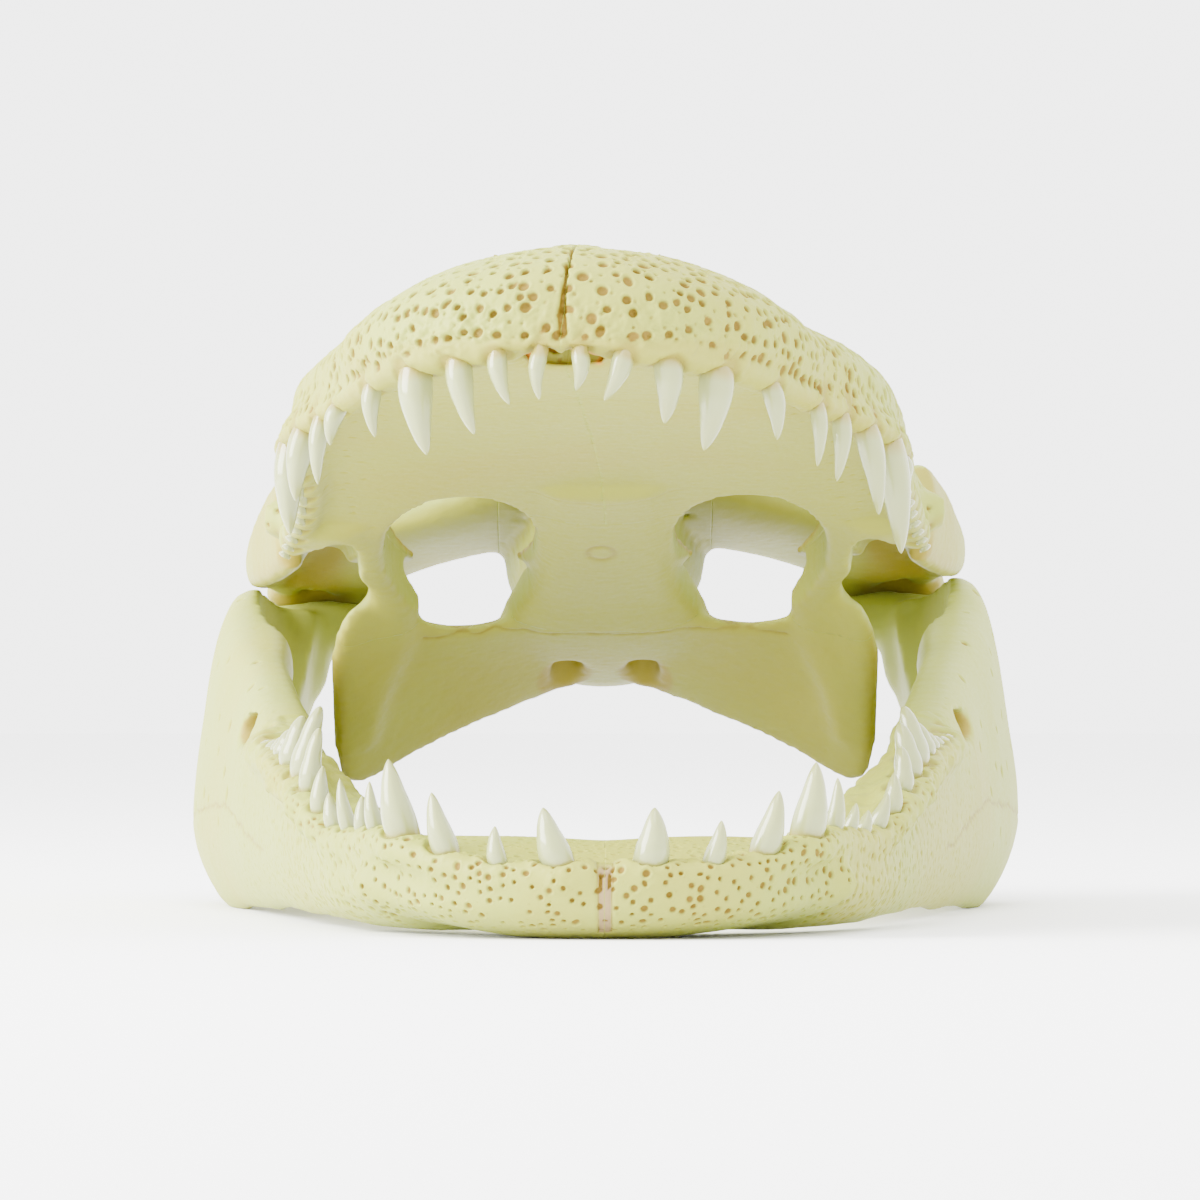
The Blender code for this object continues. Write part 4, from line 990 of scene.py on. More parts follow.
def cranium_relief(points, normals, edges, sizes):
    """Presses pits, sutures, sockets and grain into the cranium; returns points, and the stain, painted shade
    and painted light of each vertex.
    """
    _, v, w = points.T
    outward = normals[:, 2]
    seed = sizes.seed
    on_dome = smooth_step(*DOME_FACING, outward) * smooth_step(*DOME_HEIGHT, w)
    front = fade(*SNOUT_FRONT, v)
    roof = smooth_step(*ROOF_FACING, outward) * smooth_step(*ROOF_BEGIN, v) * smooth_step(*ROOF_HEIGHT, w)
    snout_weight = on_dome * fade(*SNOUT_BACK, v) * (BACK_PITS + (1 - BACK_PITS) * front)
    weight = np.clip(snout_weight + BACK_PITS * roof, 0, 1)
    spacing = sizes.pit_spacing / MM
    depth, rim = pits(points, weight, spacing, SNOUT_PITS, seed, 0.62)
    small, _ = pits(points, 0.3 * weight * front, 0.9 * spacing, SNOUT_SMALL_PITS, seed + 5, 0.55)
    sparse, _ = pits(points, 0.10 * (1 - on_dome), 2 * spacing, SPARSE_PITS, seed + 7, 0.3)
    holes, _ = pits(points, palate_holes(points, normals), PALATE_SPACING, PALATE_HOLES, seed + 6)
    seams = cranium_seams(points, normals, seed)
    teeth = tooth_rows("upper", 1) + tooth_rows("upper", -1)
    rise, gap = (part * fade(*SOCKET_TOP, w) for part in socket_relief(points, teeth))
    crumble = rough_noise(points, CRUMBLE_CELL, seed + 20)
    lumps = rough_noise(points, LUMP_CELL, seed + 26, 2)
    swell = rough_noise(points, SWELL_CELL, seed + 30, 2)
    near_teeth = np.clip(rise + gap, 0, 1)
    worn = fade(*WORN_BACK, v) * fade(*WORN_TOP, w) * smooth_step(*WORN_BEGIN, w)
    crack = snout_crack(points, seed)
    deep = np.maximum(depth, 0.6 * small)
    push = (
        SWELL_RISE * swell * on_dome - FRONT_DROP * on_dome * front
        + LUMP_RISE * lumps * on_dome * front
        + (GRAIN_RISE + SOCKET_GRAIN * near_teeth * front + MARGIN_GRAIN * worn) * crumble
        + COLLAR_RISE * rise - SOCKET_DEPTH * gap
        - sizes.pit_depth / MM * deep * (1 - gap)
        + RIM_SHARE * sizes.pit_depth / MM * rim
        - SPARSE_DEPTH * sparse - PALATE_HOLE_DEPTH * holes - CRACK_DEPTH * crack
        - sizes.suture_depth / MM * seams
    )
    moved = points + normals * push[:, None]
    hollow_shade = hollow_measure(points, normals, edges)
    stains_and_painted_light = {
        # Painted light: bright orange for light shining through the thin bone behind the front teeth.
        "painted_glow": front_hole(points),
        "pit": np.clip(depth ** 0.7 + 0.9 * small + 0.8 * sparse + holes + crack, 0, 1),
        "seam": seams,
        "socket": gap,
        # Painted shade: dark ochre in the chamber, by the nostrils and cheeks, in the hollows of the surface
        # and on bone that faces down.
        "hollow_shade": np.clip(
            painted_shade_places(points, normals) + 0.7 * smooth_step(1.0, 3.2, hollow_shade)
            + 0.33 * smooth_step(0.1, 0.6, -outward), 0, 1),
    }
    return moved, stains_and_painted_light


def snout_crack(points, seed):
    """The open seam down the front of the snout: a wedge, thin at its top and wide above the teeth."""
    x, v, w = points.T
    wander = 0.5 * lattice_noise(points, 5.0, seed + 44) + 0.25 * lattice_noise(points, 2.0, seed + 45)
    half = np.interp(w, [3, 8, 18, 30], [1.2, 1.1, 0.5, 0.22])
    reach = fade(20, 26, v) * smooth_step(2.5, 4.5, w)
    return fade(0.6 * half, 1.35 * half, np.abs(x - wander)) * reach


def painted_shade_places(points, normals):
    """1 where shade is painted in dark ochre: in the chamber, by the inner nostrils and under the cheeks."""
    x, v, w = points.T
    nostril = (np.abs(x) - 11) ** 2 / 50 + (v - 340) ** 2 / 160 + (w + 20) ** 2 / 160
    cheek = smooth_step(70, 78, np.abs(x)) * smooth_step(262, 285, v) * smooth_step(-0.1, 0.4, -normals[:, 1])
    palate = smooth_step(0.2, 0.5, -normals[:, 2]) * (w < 14)
    inside = inside_chamber(points) * (1 - palate)
    return np.clip(inside + fade(0.8, 1.6, nostril) + 0.8 * cheek * (w < 30), 0, 1)


def front_hole(points):
    """1 in the hole behind the front teeth, on its walls and at its edge."""
    x, v, w = points.T
    return fade(*HOLE_HALF, np.abs(x)) * smooth_step(*HOLE_BEGIN, v) * fade(*HOLE_BACK, v) * (w < HOLE_TOP)


def inside_chamber(points):
    """1 on the walls of the chamber behind the snout, by the formula of its sections."""
    rows = np.array(CHAMBER, float)
    x, v, w = points.T
    half = np.interp(v, rows[:, 1], rows[:, 3]) / 2 + 1.5
    high = np.interp(v, rows[:, 1], rows[:, 4]) / 2 + 1.5
    centre = np.interp(v, rows[:, 1], rows[:, 2])
    value = (np.abs(x) / half) ** 2.3 + (np.abs(w - centre) / high) ** 2.3
    return fade(0.95, 1.1, value) * (v > 178) * (v < 325)


def palate_holes(points, normals):
    """Small nerve holes in two rows on the palate beside the teeth."""
    x, v, _ = points.T
    row = np.exp(-((np.abs(x) - 0.80 * np.interp(v, [0, 60, 110, 240], [20, 62, 78, 84])) / 4.0) ** 2)
    return 0.5 * row * (normals[:, 2] < -0.6) * (v > 25) * (v < 215)


def cranium_seams(points, normals, seed):
    """The wavy lines where bones meet, each a function of the position on the surface."""
    x, v, w = points.T
    wave = 1.4 * lattice_noise(points, 5.0, seed + 40) + 0.7 * lattice_noise(points, 2.0, seed + 41)
    above = smooth_step(6, 10, w) * smooth_step(-0.2, 0.2, normals[:, 2])
    below = smooth_step(0.3, 0.6, -normals[:, 2]) * fade(9, 13, w)
    seams = np.zeros(len(points))

    def add(offset, mask, width=0.45):
        """One more line, no deeper where it crosses another."""
        nonlocal seams
        seams = np.maximum(seams, line_groove(offset, width) * mask)

    zig = wave * 0.8
    add(np.abs(x) - (9 + 0.02 * v + zig), above * smooth_step(60, 66, v) * fade(222, 228, v))
    add(v - (60 + 0.9 * (w - 10) + zig), above * smooth_step(9, 14, np.abs(x)))
    add(v - (205 + 0.35 * np.abs(x) + 2 * zig), above * smooth_step(10, 12, np.abs(x)) * (np.abs(x) < 60))
    add(v - (316 + zig), above * (np.abs(x) < 40))
    add(np.abs(x) - (31 + 0.1 * (v - 330) + zig), smooth_step(0.5, 0.8, normals[:, 2]) * (v > 330) * (w > 55))
    add(v - (62 + 0.35 * np.abs(x) + zig), 0.3 * below * (np.abs(x) < 60), 0.4)
    add(v - (178 - 0.25 * np.abs(x) + zig), 0.5 * below * (np.abs(x) < 22), 0.4)
    add(v - (297 + 0.12 * np.abs(x) + zig), (w < 6) * (np.abs(x) < 50))
    add(3.2 - np.hypot((x + 1) / 1.1, (v - 228) / 1.9), 0.8 * below * (np.abs(x) < 8), 0.7)
    add(v - (250 + 0.7 * (w - 15) + zig), smooth_step(80, 84, np.abs(x)) * (w > 6))
    return seams


def jaw_relief(points, normals, edges, sizes):
    """Presses pits, seams, sockets and grain into the lower jaw; returns points, and the stain and painted
    shade of each vertex.
    """
    side, s, z = np.abs(points[:, 0]), points[:, 1], points[:, 2]
    sign = np.where(points[:, 0] < 0, -1.0, 1.0)
    seed = sizes.seed + 100
    ahead = np.where(s < 60, -normals[:, 1], 0)
    outer = smooth_step(-0.1, 0.35, ahead + sign * normals[:, 0] * smooth_step(20, 60, s))
    front = fade(*CHIN_BACK, s)
    back = smooth_step(*JAW_BACK_BEGIN, s)
    weight = np.clip(outer * (0.06 + 0.94 * front ** 1.5 + 0.45 * back), 0, 1) * smooth_step(*KEEL_HEIGHT, z)
    spacing = sizes.pit_spacing / MM
    depth, rim = pits(points, weight * (s < JAW_PITS_END), 0.72 * spacing, JAW_PITS, seed)
    wall = outer * (s >= WALL_HOLES_FROM) * smooth_step(*WALL_HOLES_HEIGHT, z)
    back_holes, _ = pits(points, wall, 3.6 * spacing, JAW_NERVE_HOLES, seed + 3)
    small, _ = pits(points, 0.25 * outer * front, spacing, JAW_SMALL_PITS, seed + 5, 0.3)
    teeth = tooth_rows("lower", 1) + tooth_rows("lower", -1)
    top = np.interp(s, [row[1] for row in LOWER_TEETH], [row[2] for row in LOWER_TEETH])
    above = smooth_step(*JAW_SOCKET_BEGIN, z - top) * (s < JAW_SOCKETS_END)
    rise, gap = (part * above for part in socket_relief(points, teeth))
    rise = rise * fade(*JAW_COLLARS_BACK, s)
    crumble = rough_noise(points, JAW_CRUMBLE_CELL, seed + 20)
    rugose = rough_noise(points, JAW_LUMP_CELL, seed + 24)
    swell = rough_noise(points, JAW_SWELL_CELL, seed + 30, 2)
    shelf = smooth_step(*SHELF_BEGIN, z - top) * (s > SHELF_S[0]) * (s < SHELF_S[1])
    seams = jaw_seams(points, seed)
    strip = chin_strip(points)
    strip_edge = line_groove(side - 1.7 - 0.15 * crumble, 0.3) * (s < STRIP_BACK) * (z < STRIP_TOP[1])
    oval = ((side - SLIT_X) / SLIT_HALF) ** 2 + ((z - SLIT_Z) / SLIT_RISE) ** 2
    slits = fade(0.5, 1.0, oval) * (s < STRIP_BACK)
    window = window_edge(points)
    push = (
        JAW_SWELL_RISE * swell - JAW_DROP
        + (JAW_GRAIN_RISE + JAW_MARGIN_GRAIN * np.clip(rise + gap + shelf, 0, 1)) * crumble
        + SHELF_RISE * rugose * shelf
        + JAW_COLLAR_RISE * rise - JAW_SOCKET_DEPTH * gap
        - JAW_PIT_SHARE * sizes.pit_depth / MM * depth * (1 - gap)
        + JAW_RIM_SHARE * sizes.pit_depth / MM * rim
        - JAW_SMALL_DEPTH * small - WALL_HOLE_DEPTH * back_holes
        - STRIP_DEPTH * strip - STRIP_EDGE_DEPTH * strip_edge - SLIT_DEPTH * slits
        - sizes.suture_depth / MM * seams
    )
    moved = points + normals * push[:, None]
    moved[:, 2] = np.maximum(moved[:, 2], FLOOR_GAP)
    hollow_shade = hollow_measure(points, normals, edges)
    holes = 0.8 * small + back_holes + slits
    stains_and_painted_light = {
        # Inside the window the pit colour is painted shade too.
        "pit": np.clip(depth ** 0.8 + holes + 0.5 * strip_edge + 0.3 * window, 0, 1),
        "seam": seams,
        "socket": gap,
        # Painted shade: dark ochre in the hollows of the surface and inside the window.
        "hollow_shade": np.clip(0.8 * smooth_step(0.8, 2.8, hollow_shade) + window, 0, 1),
        "strip": strip,
    }
    return moved, stains_and_painted_light


def chin_strip(points):
    """1 on the dried gristle that joins the two halves of the jaw at the chin."""
    x, s, z = points.T
    return fade(*STRIP_HALF, np.abs(x)) * (s < STRIP_BACK) * fade(*STRIP_TOP, z)


def window_edge(points):
    """1 inside the window through the outer wall of the jaw, where shade is painted."""
    x, s, z = points.T
    value = ((s - WINDOW_S) / WINDOW_HALF) ** 2 + ((z - WINDOW_Z) / WINDOW_RISE) ** 2
    return fade(0.85, 1.1, value) * (np.abs(x) > WINDOW_SHADE_FROM)


def jaw_seams(points, seed):
    """The lines where dentary, angular and surangular meet."""
    _, s, z = points.T
    wave = lattice_noise(points, 5.0, seed + 40) + 0.5 * lattice_noise(points, 2.0, seed + 41)
    seams = line_groove(z - (0.16 * (s - 150) + 14 + wave), 0.45) * (s > 175) * (s < 250)
    angular = line_groove(z - (30 - 0.06 * (s - 250) + wave), 0.45) * (s > 250) * (s < 400)
    return np.maximum(seams, angular)


# Places in the world


def to_world_cranium(points):
    """Bends the snout, turns the cranium about the joint and twists it, in millimetres."""
    x, v, w = points.T
    share = np.clip(1 - v / DRIFT_END, 0, 1.1)
    rise = np.clip(w / DRIFT_TOP, 0, 1)
    x = x + SNOUT_DRIFT * share ** DRIFT_POWER * (1 - DRIFT_RELIEF * rise)
    cos, sin = math.cos(GAPE_PITCH), math.sin(GAPE_PITCH)
    y, z = v - JOINT_V, w - JOINT_W
    y, z = cos * y - sin * z, sin * y + cos * z
    return twisted(np.stack([x, y + JOINT_S - JAW_LENGTH / 2, z + JOINT_Z], axis=1))


def to_world_jaw(points):
    """Moves the middle of the jaw's length to y = 0 and twists the jaw, in millimetres."""
    return twisted(points - (0, JAW_LENGTH / 2, 0))


def twisted(points):
    """The dried skull is twisted a little: away from the floor its back sits lower on the left."""
    x, y, z = points.T
    back = np.clip((y + JAW_LENGTH / 2) / SKULL_LENGTH, 0, 1)
    lift = np.clip(z / TWIST_HEIGHT, 0, 1)
    return np.stack([x, y, z + TWIST * x * back * lift], axis=1)


# Materials


class Value:
    """Wraps a socket, so that shader maths reads as a formula."""

    def __init__(self, tree, socket):
        self.tree = tree
        self.socket = socket

    def math(self, operation, other=None, swapped=False, clamp=False):
        """Adds one Math node: this value first, or second if swapped."""
        node = self.tree.nodes.new("ShaderNodeMath")
        node.operation = operation
        node.use_clamp = clamp
        terms = [self] if other is None else [self, other]
        if swapped:
            terms.reverse()
        for place, term in zip(node.inputs, terms):
            link_or_set(self.tree, place, term)
        return Value(self.tree, node.outputs[0])

    def __add__(self, other):
        return self.math("ADD", other)

    def __radd__(self, other):
        return self.math("ADD", other, True)

    def __sub__(self, other):
        return self.math("SUBTRACT", other)

    def __rsub__(self, other):
        return self.math("SUBTRACT", other, True)

    def __mul__(self, other):
        return self.math("MULTIPLY", other)

    def __rmul__(self, other):
        return self.math("MULTIPLY", other, True)

    def clamped(self):
        """The value held between 0 and 1."""
        return self.math("ADD", 0.0, clamp=True)

    def between(self, low, high):
        """0 at low, 1 at high, smooth between."""
        return Paint.of(self.tree).node(
            "ShaderNodeMapRange", {"interpolation_type": "SMOOTHSTEP"},
            {"Value": self, "From Min": low, "From Max": high})


def link_or_set(tree, place, term):
    """Links a value to a socket, or sets a plain number or vector there."""
    if isinstance(term, Value):
        tree.links.new(term.socket, place)
    else:
        place.default_value = term


class Paint:
    """The node tree of one material."""

    trees = {}

    def __init__(self, name):
        self.material = bpy.data.materials.new(name)
        self.material.use_nodes = True
        self.tree = self.material.node_tree
        self.shader = self.tree.nodes["Principled BSDF"]
        Paint.trees[self.tree.as_pointer()] = self

    @staticmethod
    def of(tree):
        """The paint that this node tree belongs to."""
        return Paint.trees[tree.as_pointer()]

    def node(self, kind, settings=None, inputs=None, output=0):
        """Makes one node: its settings first, then its values and links."""
        node = self.tree.nodes.new(kind)
        for key, value in (settings or {}).items():
            setattr(node, key, value)
        for key, term in (inputs or {}).items():
            link_or_set(self.tree, node.inputs[key], term)
        return Value(self.tree, node.outputs[output])

    def attribute(self, name):
        """A number stored at the vertices."""
        return self.node("ShaderNodeAttribute", {"attribute_name": name}, output="Fac")

    def place(self):
        """The point on the piece, in metres."""
        return self.node("ShaderNodeTexCoord", output="Object")

    def noise(self, scale, detail=3.0, roughness=0.5, stretch=(1, 1, 1)):
        """Noise that varies over one part in scale of a metre."""
        vector = self.node("ShaderNodeVectorMath", {"operation": "MULTIPLY"}, {0: self.place(), 1: stretch})
        return self.node("ShaderNodeTexNoise", {}, {
            "Vector": vector, "Scale": scale, "Detail": detail, "Roughness": roughness}, "Fac")

    def mix(self, factor, first, second):
        """Colour from first to second."""
        node = self.tree.nodes.new("ShaderNodeMix")
        node.data_type = "RGBA"
        link_or_set(self.tree, node.inputs[0], factor)
        link_or_set(self.tree, node.inputs[6], first)
        link_or_set(self.tree, node.inputs[7], second)
        return Value(self.tree, node.outputs[2])

    def bump(self, height, distance, strength=1.0):
        """A normal tilted by the slope of the height."""
        return self.node("ShaderNodeBump", {}, {
            "Height": height, "Distance": distance, "Strength": strength}, "Normal")

    def set(self, name, term):
        """Feeds one socket of the surface shader."""
        link_or_set(self.tree, self.shader.inputs[name], term)

    def soften(self, weight, radii):
        """Lets light under the surface: its share, and how far red, green and blue reach."""
        self.set("Subsurface Weight", weight)
        self.set("Subsurface Radius", radii)
        self.set("Subsurface Scale", 1.5 * MM)


def rgba(colour):
    """The colour with full cover."""
    return (*colour, 1.0)


def bone_material(colours):
    """Bleached bone: cream with warmer patches, brown in pits and seams, painted shade in dark ochre in
    hollows, painted glow behind the front teeth.
    """
    paint = Paint("bleached bone")
    patches = paint.noise(16.0, 4.0).between(0.42, 0.68)
    speckle = paint.noise(260.0, 3.0).between(0.35, 0.75)
    grain = paint.noise(900.0, 4.0, 0.6, (1.0, 0.35, 1.0))
    pit, seam = paint.attribute("pit"), paint.attribute("seam")
    socket, hollow_shade = paint.attribute("socket"), paint.attribute("hollow_shade")
    warmth = (0.60 * patches + 0.10 * speckle).clamped()
    colour = paint.mix(warmth, rgba(colours.bone), rgba(colours.bone_warm))
    # Painted shade: dark ochre in hollows, in the chamber and on bone that faces down.
    colour = paint.mix((0.9 * hollow_shade).clamped(), colour, rgba(colours.hollow_shade))
    # Darker in the gap round each tooth.
    colour = paint.mix((socket * 0.6).clamped(), colour, rgba([0.75 * c for c in colours.hollow_shade]))
    # Painted light: bright orange for light shining through the thin bone behind the front teeth.
    colour = paint.mix(paint.attribute("painted_glow"), colour, rgba(colours.painted_glow))
    colour = paint.mix(paint.attribute("strip"), colour, rgba(colours.gristle))
    colour = paint.mix((seam * (0.45 + 0.35 * speckle)).clamped(), colour, rgba(colours.pit))
    stain = pit.between(0.15, 0.75) * (0.88 + 0.12 * patches)
    colour = paint.mix(stain.clamped(), colour, rgba(colours.pit))
    paint.set("Base Color", colour)
    paint.set("Roughness", (0.42 + 0.22 * grain + 0.15 * pit).clamped())
    paint.set("Specular IOR Level", 0.2)
    paint.set("Normal", paint.bump(grain + 0.6 * speckle, 0.10 * MM, 0.5))
    paint.soften(0.05, (1.0, 0.8, 0.5))
    return paint.material


def enamel_material(colours):
    """Smooth enamel, clearer and yellower at the tip, with faint ribs along the crown."""
    paint = Paint("tooth enamel")
    along = paint.attribute("along")
    cloud = paint.noise(120.0, 3.0)
    ribs = paint.noise(700.0, 2.0, 0.5, (1.0, 1.0, 0.06))
    colour = paint.mix((along.between(0.45, 1.0) * 0.75).clamped(), rgba(colours.enamel), rgba(colours.tip))
    colour = paint.mix((0.25 * cloud).clamped(), colour, rgba(colours.bone_warm))
    # Darker towards the root, where the crown meets the bone.
    root = 1 - along.between(0.02, 0.2)
    colour = paint.mix((root * 0.75).clamped(), colour, rgba(colours.hollow_shade))
    paint.set("Base Color", colour)
    paint.set("Roughness", (0.14 + 0.10 * cloud).clamped())
    paint.set("Normal", paint.bump(ribs, 0.10 * MM, 0.35))
    paint.set("Coat Weight", 0.35)
    paint.set("Coat Roughness", 0.08)
    paint.soften(0.15, (1.0, 0.9, 0.6))
    return paint.material


def material_named(name, make, colours):
    """The material of that name, made the first time that it is asked for."""
    return bpy.data.materials.get(name) or make(colours)


# Pieces


def show(obj, name, nodes, material):
    """Names a finished piece, gives it its material, hangs it on the root and hides the nodes that it stands
    for.
    """
    obj.name = name
    obj.data.name = name
    obj.data.materials.clear()
    obj.data.materials.append(material)
    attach(obj, "root")
    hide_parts(*nodes)


def with_world_normals(mesh, to_world):
    """Stores the smooth normals that the whole bone has once it stands in its place."""
    own = points_of(mesh)
    put_points(mesh, to_world(own / MM) * MM)
    keep_values(mesh, "facing", normals_of(mesh), "FLOAT_VECTOR")
    put_points(mesh, own)


def finish_bone(obj, to_world):
    """Puts a piece in its place and gives it the normals of the whole bone, so that no cut shows."""
    mesh = obj.data
    put_points(mesh, to_world(points_of(mesh) / MM) * MM)
    facing = read(mesh.attributes["facing"].data, "vector", 3)
    mesh.attributes.remove(mesh.attributes["facing"])
    mesh.shade_smooth()
    mesh.normals_split_custom_set_from_vertices(facing)
    return obj


def copy_of(obj):
    """A new object with its own copy of the mesh."""
    return new_object(obj.name, obj.data.copy())


def cranium_regions():
    """Name of each node of the cranium, and the boxes that bound it on the right or in the middle."""
    sided = {
        "premaxilla": [((0, -50, -FAR), (FAR, PREMAXILLA_END, FAR))],
        "maxilla": [((0, PREMAXILLA_END, -FAR), (FAR, SNOUT_END, FAR)),
                    ((ROOF_HALF, PREMAXILLA_END + 20, -FAR), (FAR, MAXILLA_END, FAR))],
        "ectopterygoid": [((WING_INNER, MAXILLA_END, -FAR), (CHEEK_INNER, PALATINE_END, BASE_TOP))],
        "jugal": [((ROOF_HALF, MAXILLA_END, BASE_TOP), (FAR, TABLE_FRONT, FAR)),
                  ((CHEEK_INNER, MAXILLA_END, -FAR), (FAR, CHEEK_END, TABLE_FLOOR)),
                  ((ROOF_HALF, MAXILLA_END, BASE_TOP), (FAR, QUADRATE_FRONT, TABLE_FLOOR))],
        "quadrate": [((ROOF_HALF, QUADRATE_FRONT, BASE_TOP), (CHEEK_INNER, FAR, TABLE_FLOOR)),
                     ((ROOF_HALF, CHEEK_END, -FAR), (FAR, FAR, TABLE_FLOOR))],
    }
    middle = {
        "frontal": [((-ROOF_HALF, SNOUT_END, PALATINE_TOP), (ROOF_HALF, TABLE_FRONT, FAR))],
        "palatines": [((-ROOF_HALF, SNOUT_END, -FAR), (ROOF_HALF, PALATINE_END, PALATINE_TOP))],
        "pterygoids": [((-CHEEK_INNER, PALATINE_END, -FAR), (CHEEK_INNER, CHEEK_END, BASE_TOP))],
        "braincase": [((-ROOF_HALF, TABLE_FRONT, BASE_TOP), (ROOF_HALF, FAR, TABLE_FLOOR))],
        "skull_table": [((-FAR, TABLE_FRONT, TABLE_FLOOR), (FAR, FAR, FAR))],
    }
    return sided, middle


def region_solid(boxes, hand):
    """The boxes of one node as one closed solid."""
    turn = (lambda solid: solid) if hand > 0 else mirrored
    obj = new_object("region", mesh_of("region", turn(block(*boxes[0]))))
    for corners in boxes[1:]:
        cut(obj, new_object("more", mesh_of("more", turn(block(*corners)))), "UNION")
    return obj


def pressed(whole, relief, to_world, sizes):
    """Presses its relief into a whole bone and stores its stain, painted shade and painted light, and its
    normals in the world.
    """
    mesh = whole.data
    points, stains_and_painted_light = relief(points_of(mesh) / MM, normals_of(mesh), edges_of(mesh), sizes)
    put_points(mesh, points * MM)
    for name, values in stains_and_painted_light.items():
        keep_values(mesh, name, values)
    with_world_normals(mesh, to_world)


def parted(whole, regions, to_world, material):
    """Cuts a whole bone along its sutures into one piece for each node."""
    for name, boxes, hand in regions:
        piece = cut(copy_of(whole), region_solid(boxes, hand), "INTERSECT")
        show(finish_bone(piece, to_world), f"bone_{name}", [name], material)
    drop(whole)


def build_cranium(sizes, material):
    """Grows the cranium, opens it, presses its relief in and parts it into its nodes."""
    shell = new_object("shell", mesh_of("shell", snout()))
    grown(shell, sizes.voxel, 0)
    cut(shell, grown(new_object("chamber", mesh_of("chamber", chamber())), sizes.voxel, 0))
    bones = combined(
        socket_ridge() + palatines() + pterygoid_wing() + ectopterygoid() + jugal() + quadrate()
        + eye_region() + skull_table() + braincase())
    other = new_object("bones", mesh_of("bones", bones))
    join(shell, other)
    grown(shell, sizes.voxel, 2)
    holes = new_object("holes", mesh_of("holes", combined(cranium_openings())))
    cut(shell, grown(holes, sizes.voxel, 0))
    grown(shell, sizes.voxel, 3)
    largest_part(shell)
    doubled(shell)
    refined(shell, lambda p: (p[:, 2] > 3) & (p[:, 1] < np.where(np.abs(p[:, 0]) > 34, *FINE_SNOUT)))
    pressed(shell, cranium_relief, to_world_cranium, sizes)
    sided, middle = cranium_regions()
    regions = [(f"{name}_{side}", boxes, hand) for name, boxes in sided.items() for side, hand in HANDS]
    regions += [(name, boxes, 1) for name, boxes in middle.items()]
    parted(shell, regions, to_world_cranium, material)


def join(obj, other):
    """Adds the other object's mesh to the first."""
    edited(obj.data, lambda work: work.from_mesh(other.data))
    drop(other)


def doubled(obj):
    """One round of smooth subdivision."""
    modifier = obj.modifiers.new("double", "SUBSURF")
    modifier.levels = 1
    modifier.render_levels = 1
    settle(obj)


def whole_jaw(solids):
    """The solids of the right half and their mirror images as one object."""
    return new_object("jaw", mesh_of("jaw", combined(solids + [mirrored(solid) for solid in solids])))


def build_jaw(sizes, material):
    """Grows the lower jaw, opens it, presses its relief in and parts it into its nodes."""
    jaw = whole_jaw(jaw_half() + articular() + lower_socket_ridge())
    grown(jaw, sizes.voxel, 2)
    cut(jaw, grown(whole_jaw(jaw_openings()), sizes.voxel, 0))
    grown(jaw, sizes.voxel, 3)
    largest_part(jaw)
    doubled(jaw)
    refined(jaw, lambda p: (p[:, 1] < FINE_CHIN) & (p[:, 2] > 1))
    pressed(jaw, jaw_relief, to_world_jaw, sizes)
    spans = (("dentary", -FAR, JAW_SUTURE), ("surangular", JAW_SUTURE, FAR))
    regions = [(f"{name}_{side}", [((0, low, -FAR), (FAR, high, FAR))], hand)
               for name, low, high in spans for side, hand in HANDS]
    parted(jaw, regions, to_world_jaw, material)


def crown(base, tip, width, blunt, bow, seed):
    """A tooth as rings along a bowed path; its radius follows a pointed arch, or a leaf if it is blunt.

    The path is base + t (tip - base) + 4 t (1 - t) bow. The root narrows inside the bone. Two faint keels
    run fore and aft.
    """
    rng = np.random.default_rng(seed)
    axis = tip - base
    length = np.linalg.norm(axis)
    axis = axis / length
    side = np.cross(axis, (0, 1, 0))
    side /= np.linalg.norm(side)
    lift = np.cross(side, axis)
    root = ROOT_LENGTH / length
    buried, bare = np.linspace(-root, 0, 7)[:-1], 1 - np.linspace(1, 0, CROWN_RINGS) ** 1.4
    t = np.concatenate([buried, bare])[:, None]
    u = np.clip(t, 0, 1)
    if blunt:
        swell = 0.80 + 0.20 * np.sin(np.pi * np.clip(u / 0.55, 0, 1))
        radius = swell * np.sqrt(np.clip(1 - u ** 3.2, 0, 1))
    else:
        swell = 1.00 + 0.09 * np.sin(np.pi * np.clip(u / 0.6, 0, 1))
        radius = swell * np.clip(1 - u ** 2.1, 0, 1) ** 0.70
    radius = np.maximum(radius * (1 + ROOT_TAPER * np.clip(t / root, -1, 0)), POINT_RADIUS) * width / 2
    turn = circle(CROWN_SIDES)[None, :]
    flat = 0.86 + 0.06 * rng.uniform(-1, 1)
    keel = 1 + 0.05 * np.exp(-((np.abs(np.sin(turn)) - 1) / 0.02) ** 2) * u
    ribs = 1 + 0.010 * np.sin(turn * 9 + rng.uniform(0, 6)) * (1 - u)
    middle = base + (tip - base) * t + 4 * u * (1 - u) * bow
    rings = middle[:, None, :] + (radius * keel * ribs)[:, :, None] * (
        side * np.cos(turn)[..., None] * flat + lift * np.sin(turn)[..., None])
    points, quads, tris = loft(rings)
    along = np.concatenate([np.repeat(u[:, 0], CROWN_SIDES), [0.0, 1.0]])
    return (points, quads, tris), along


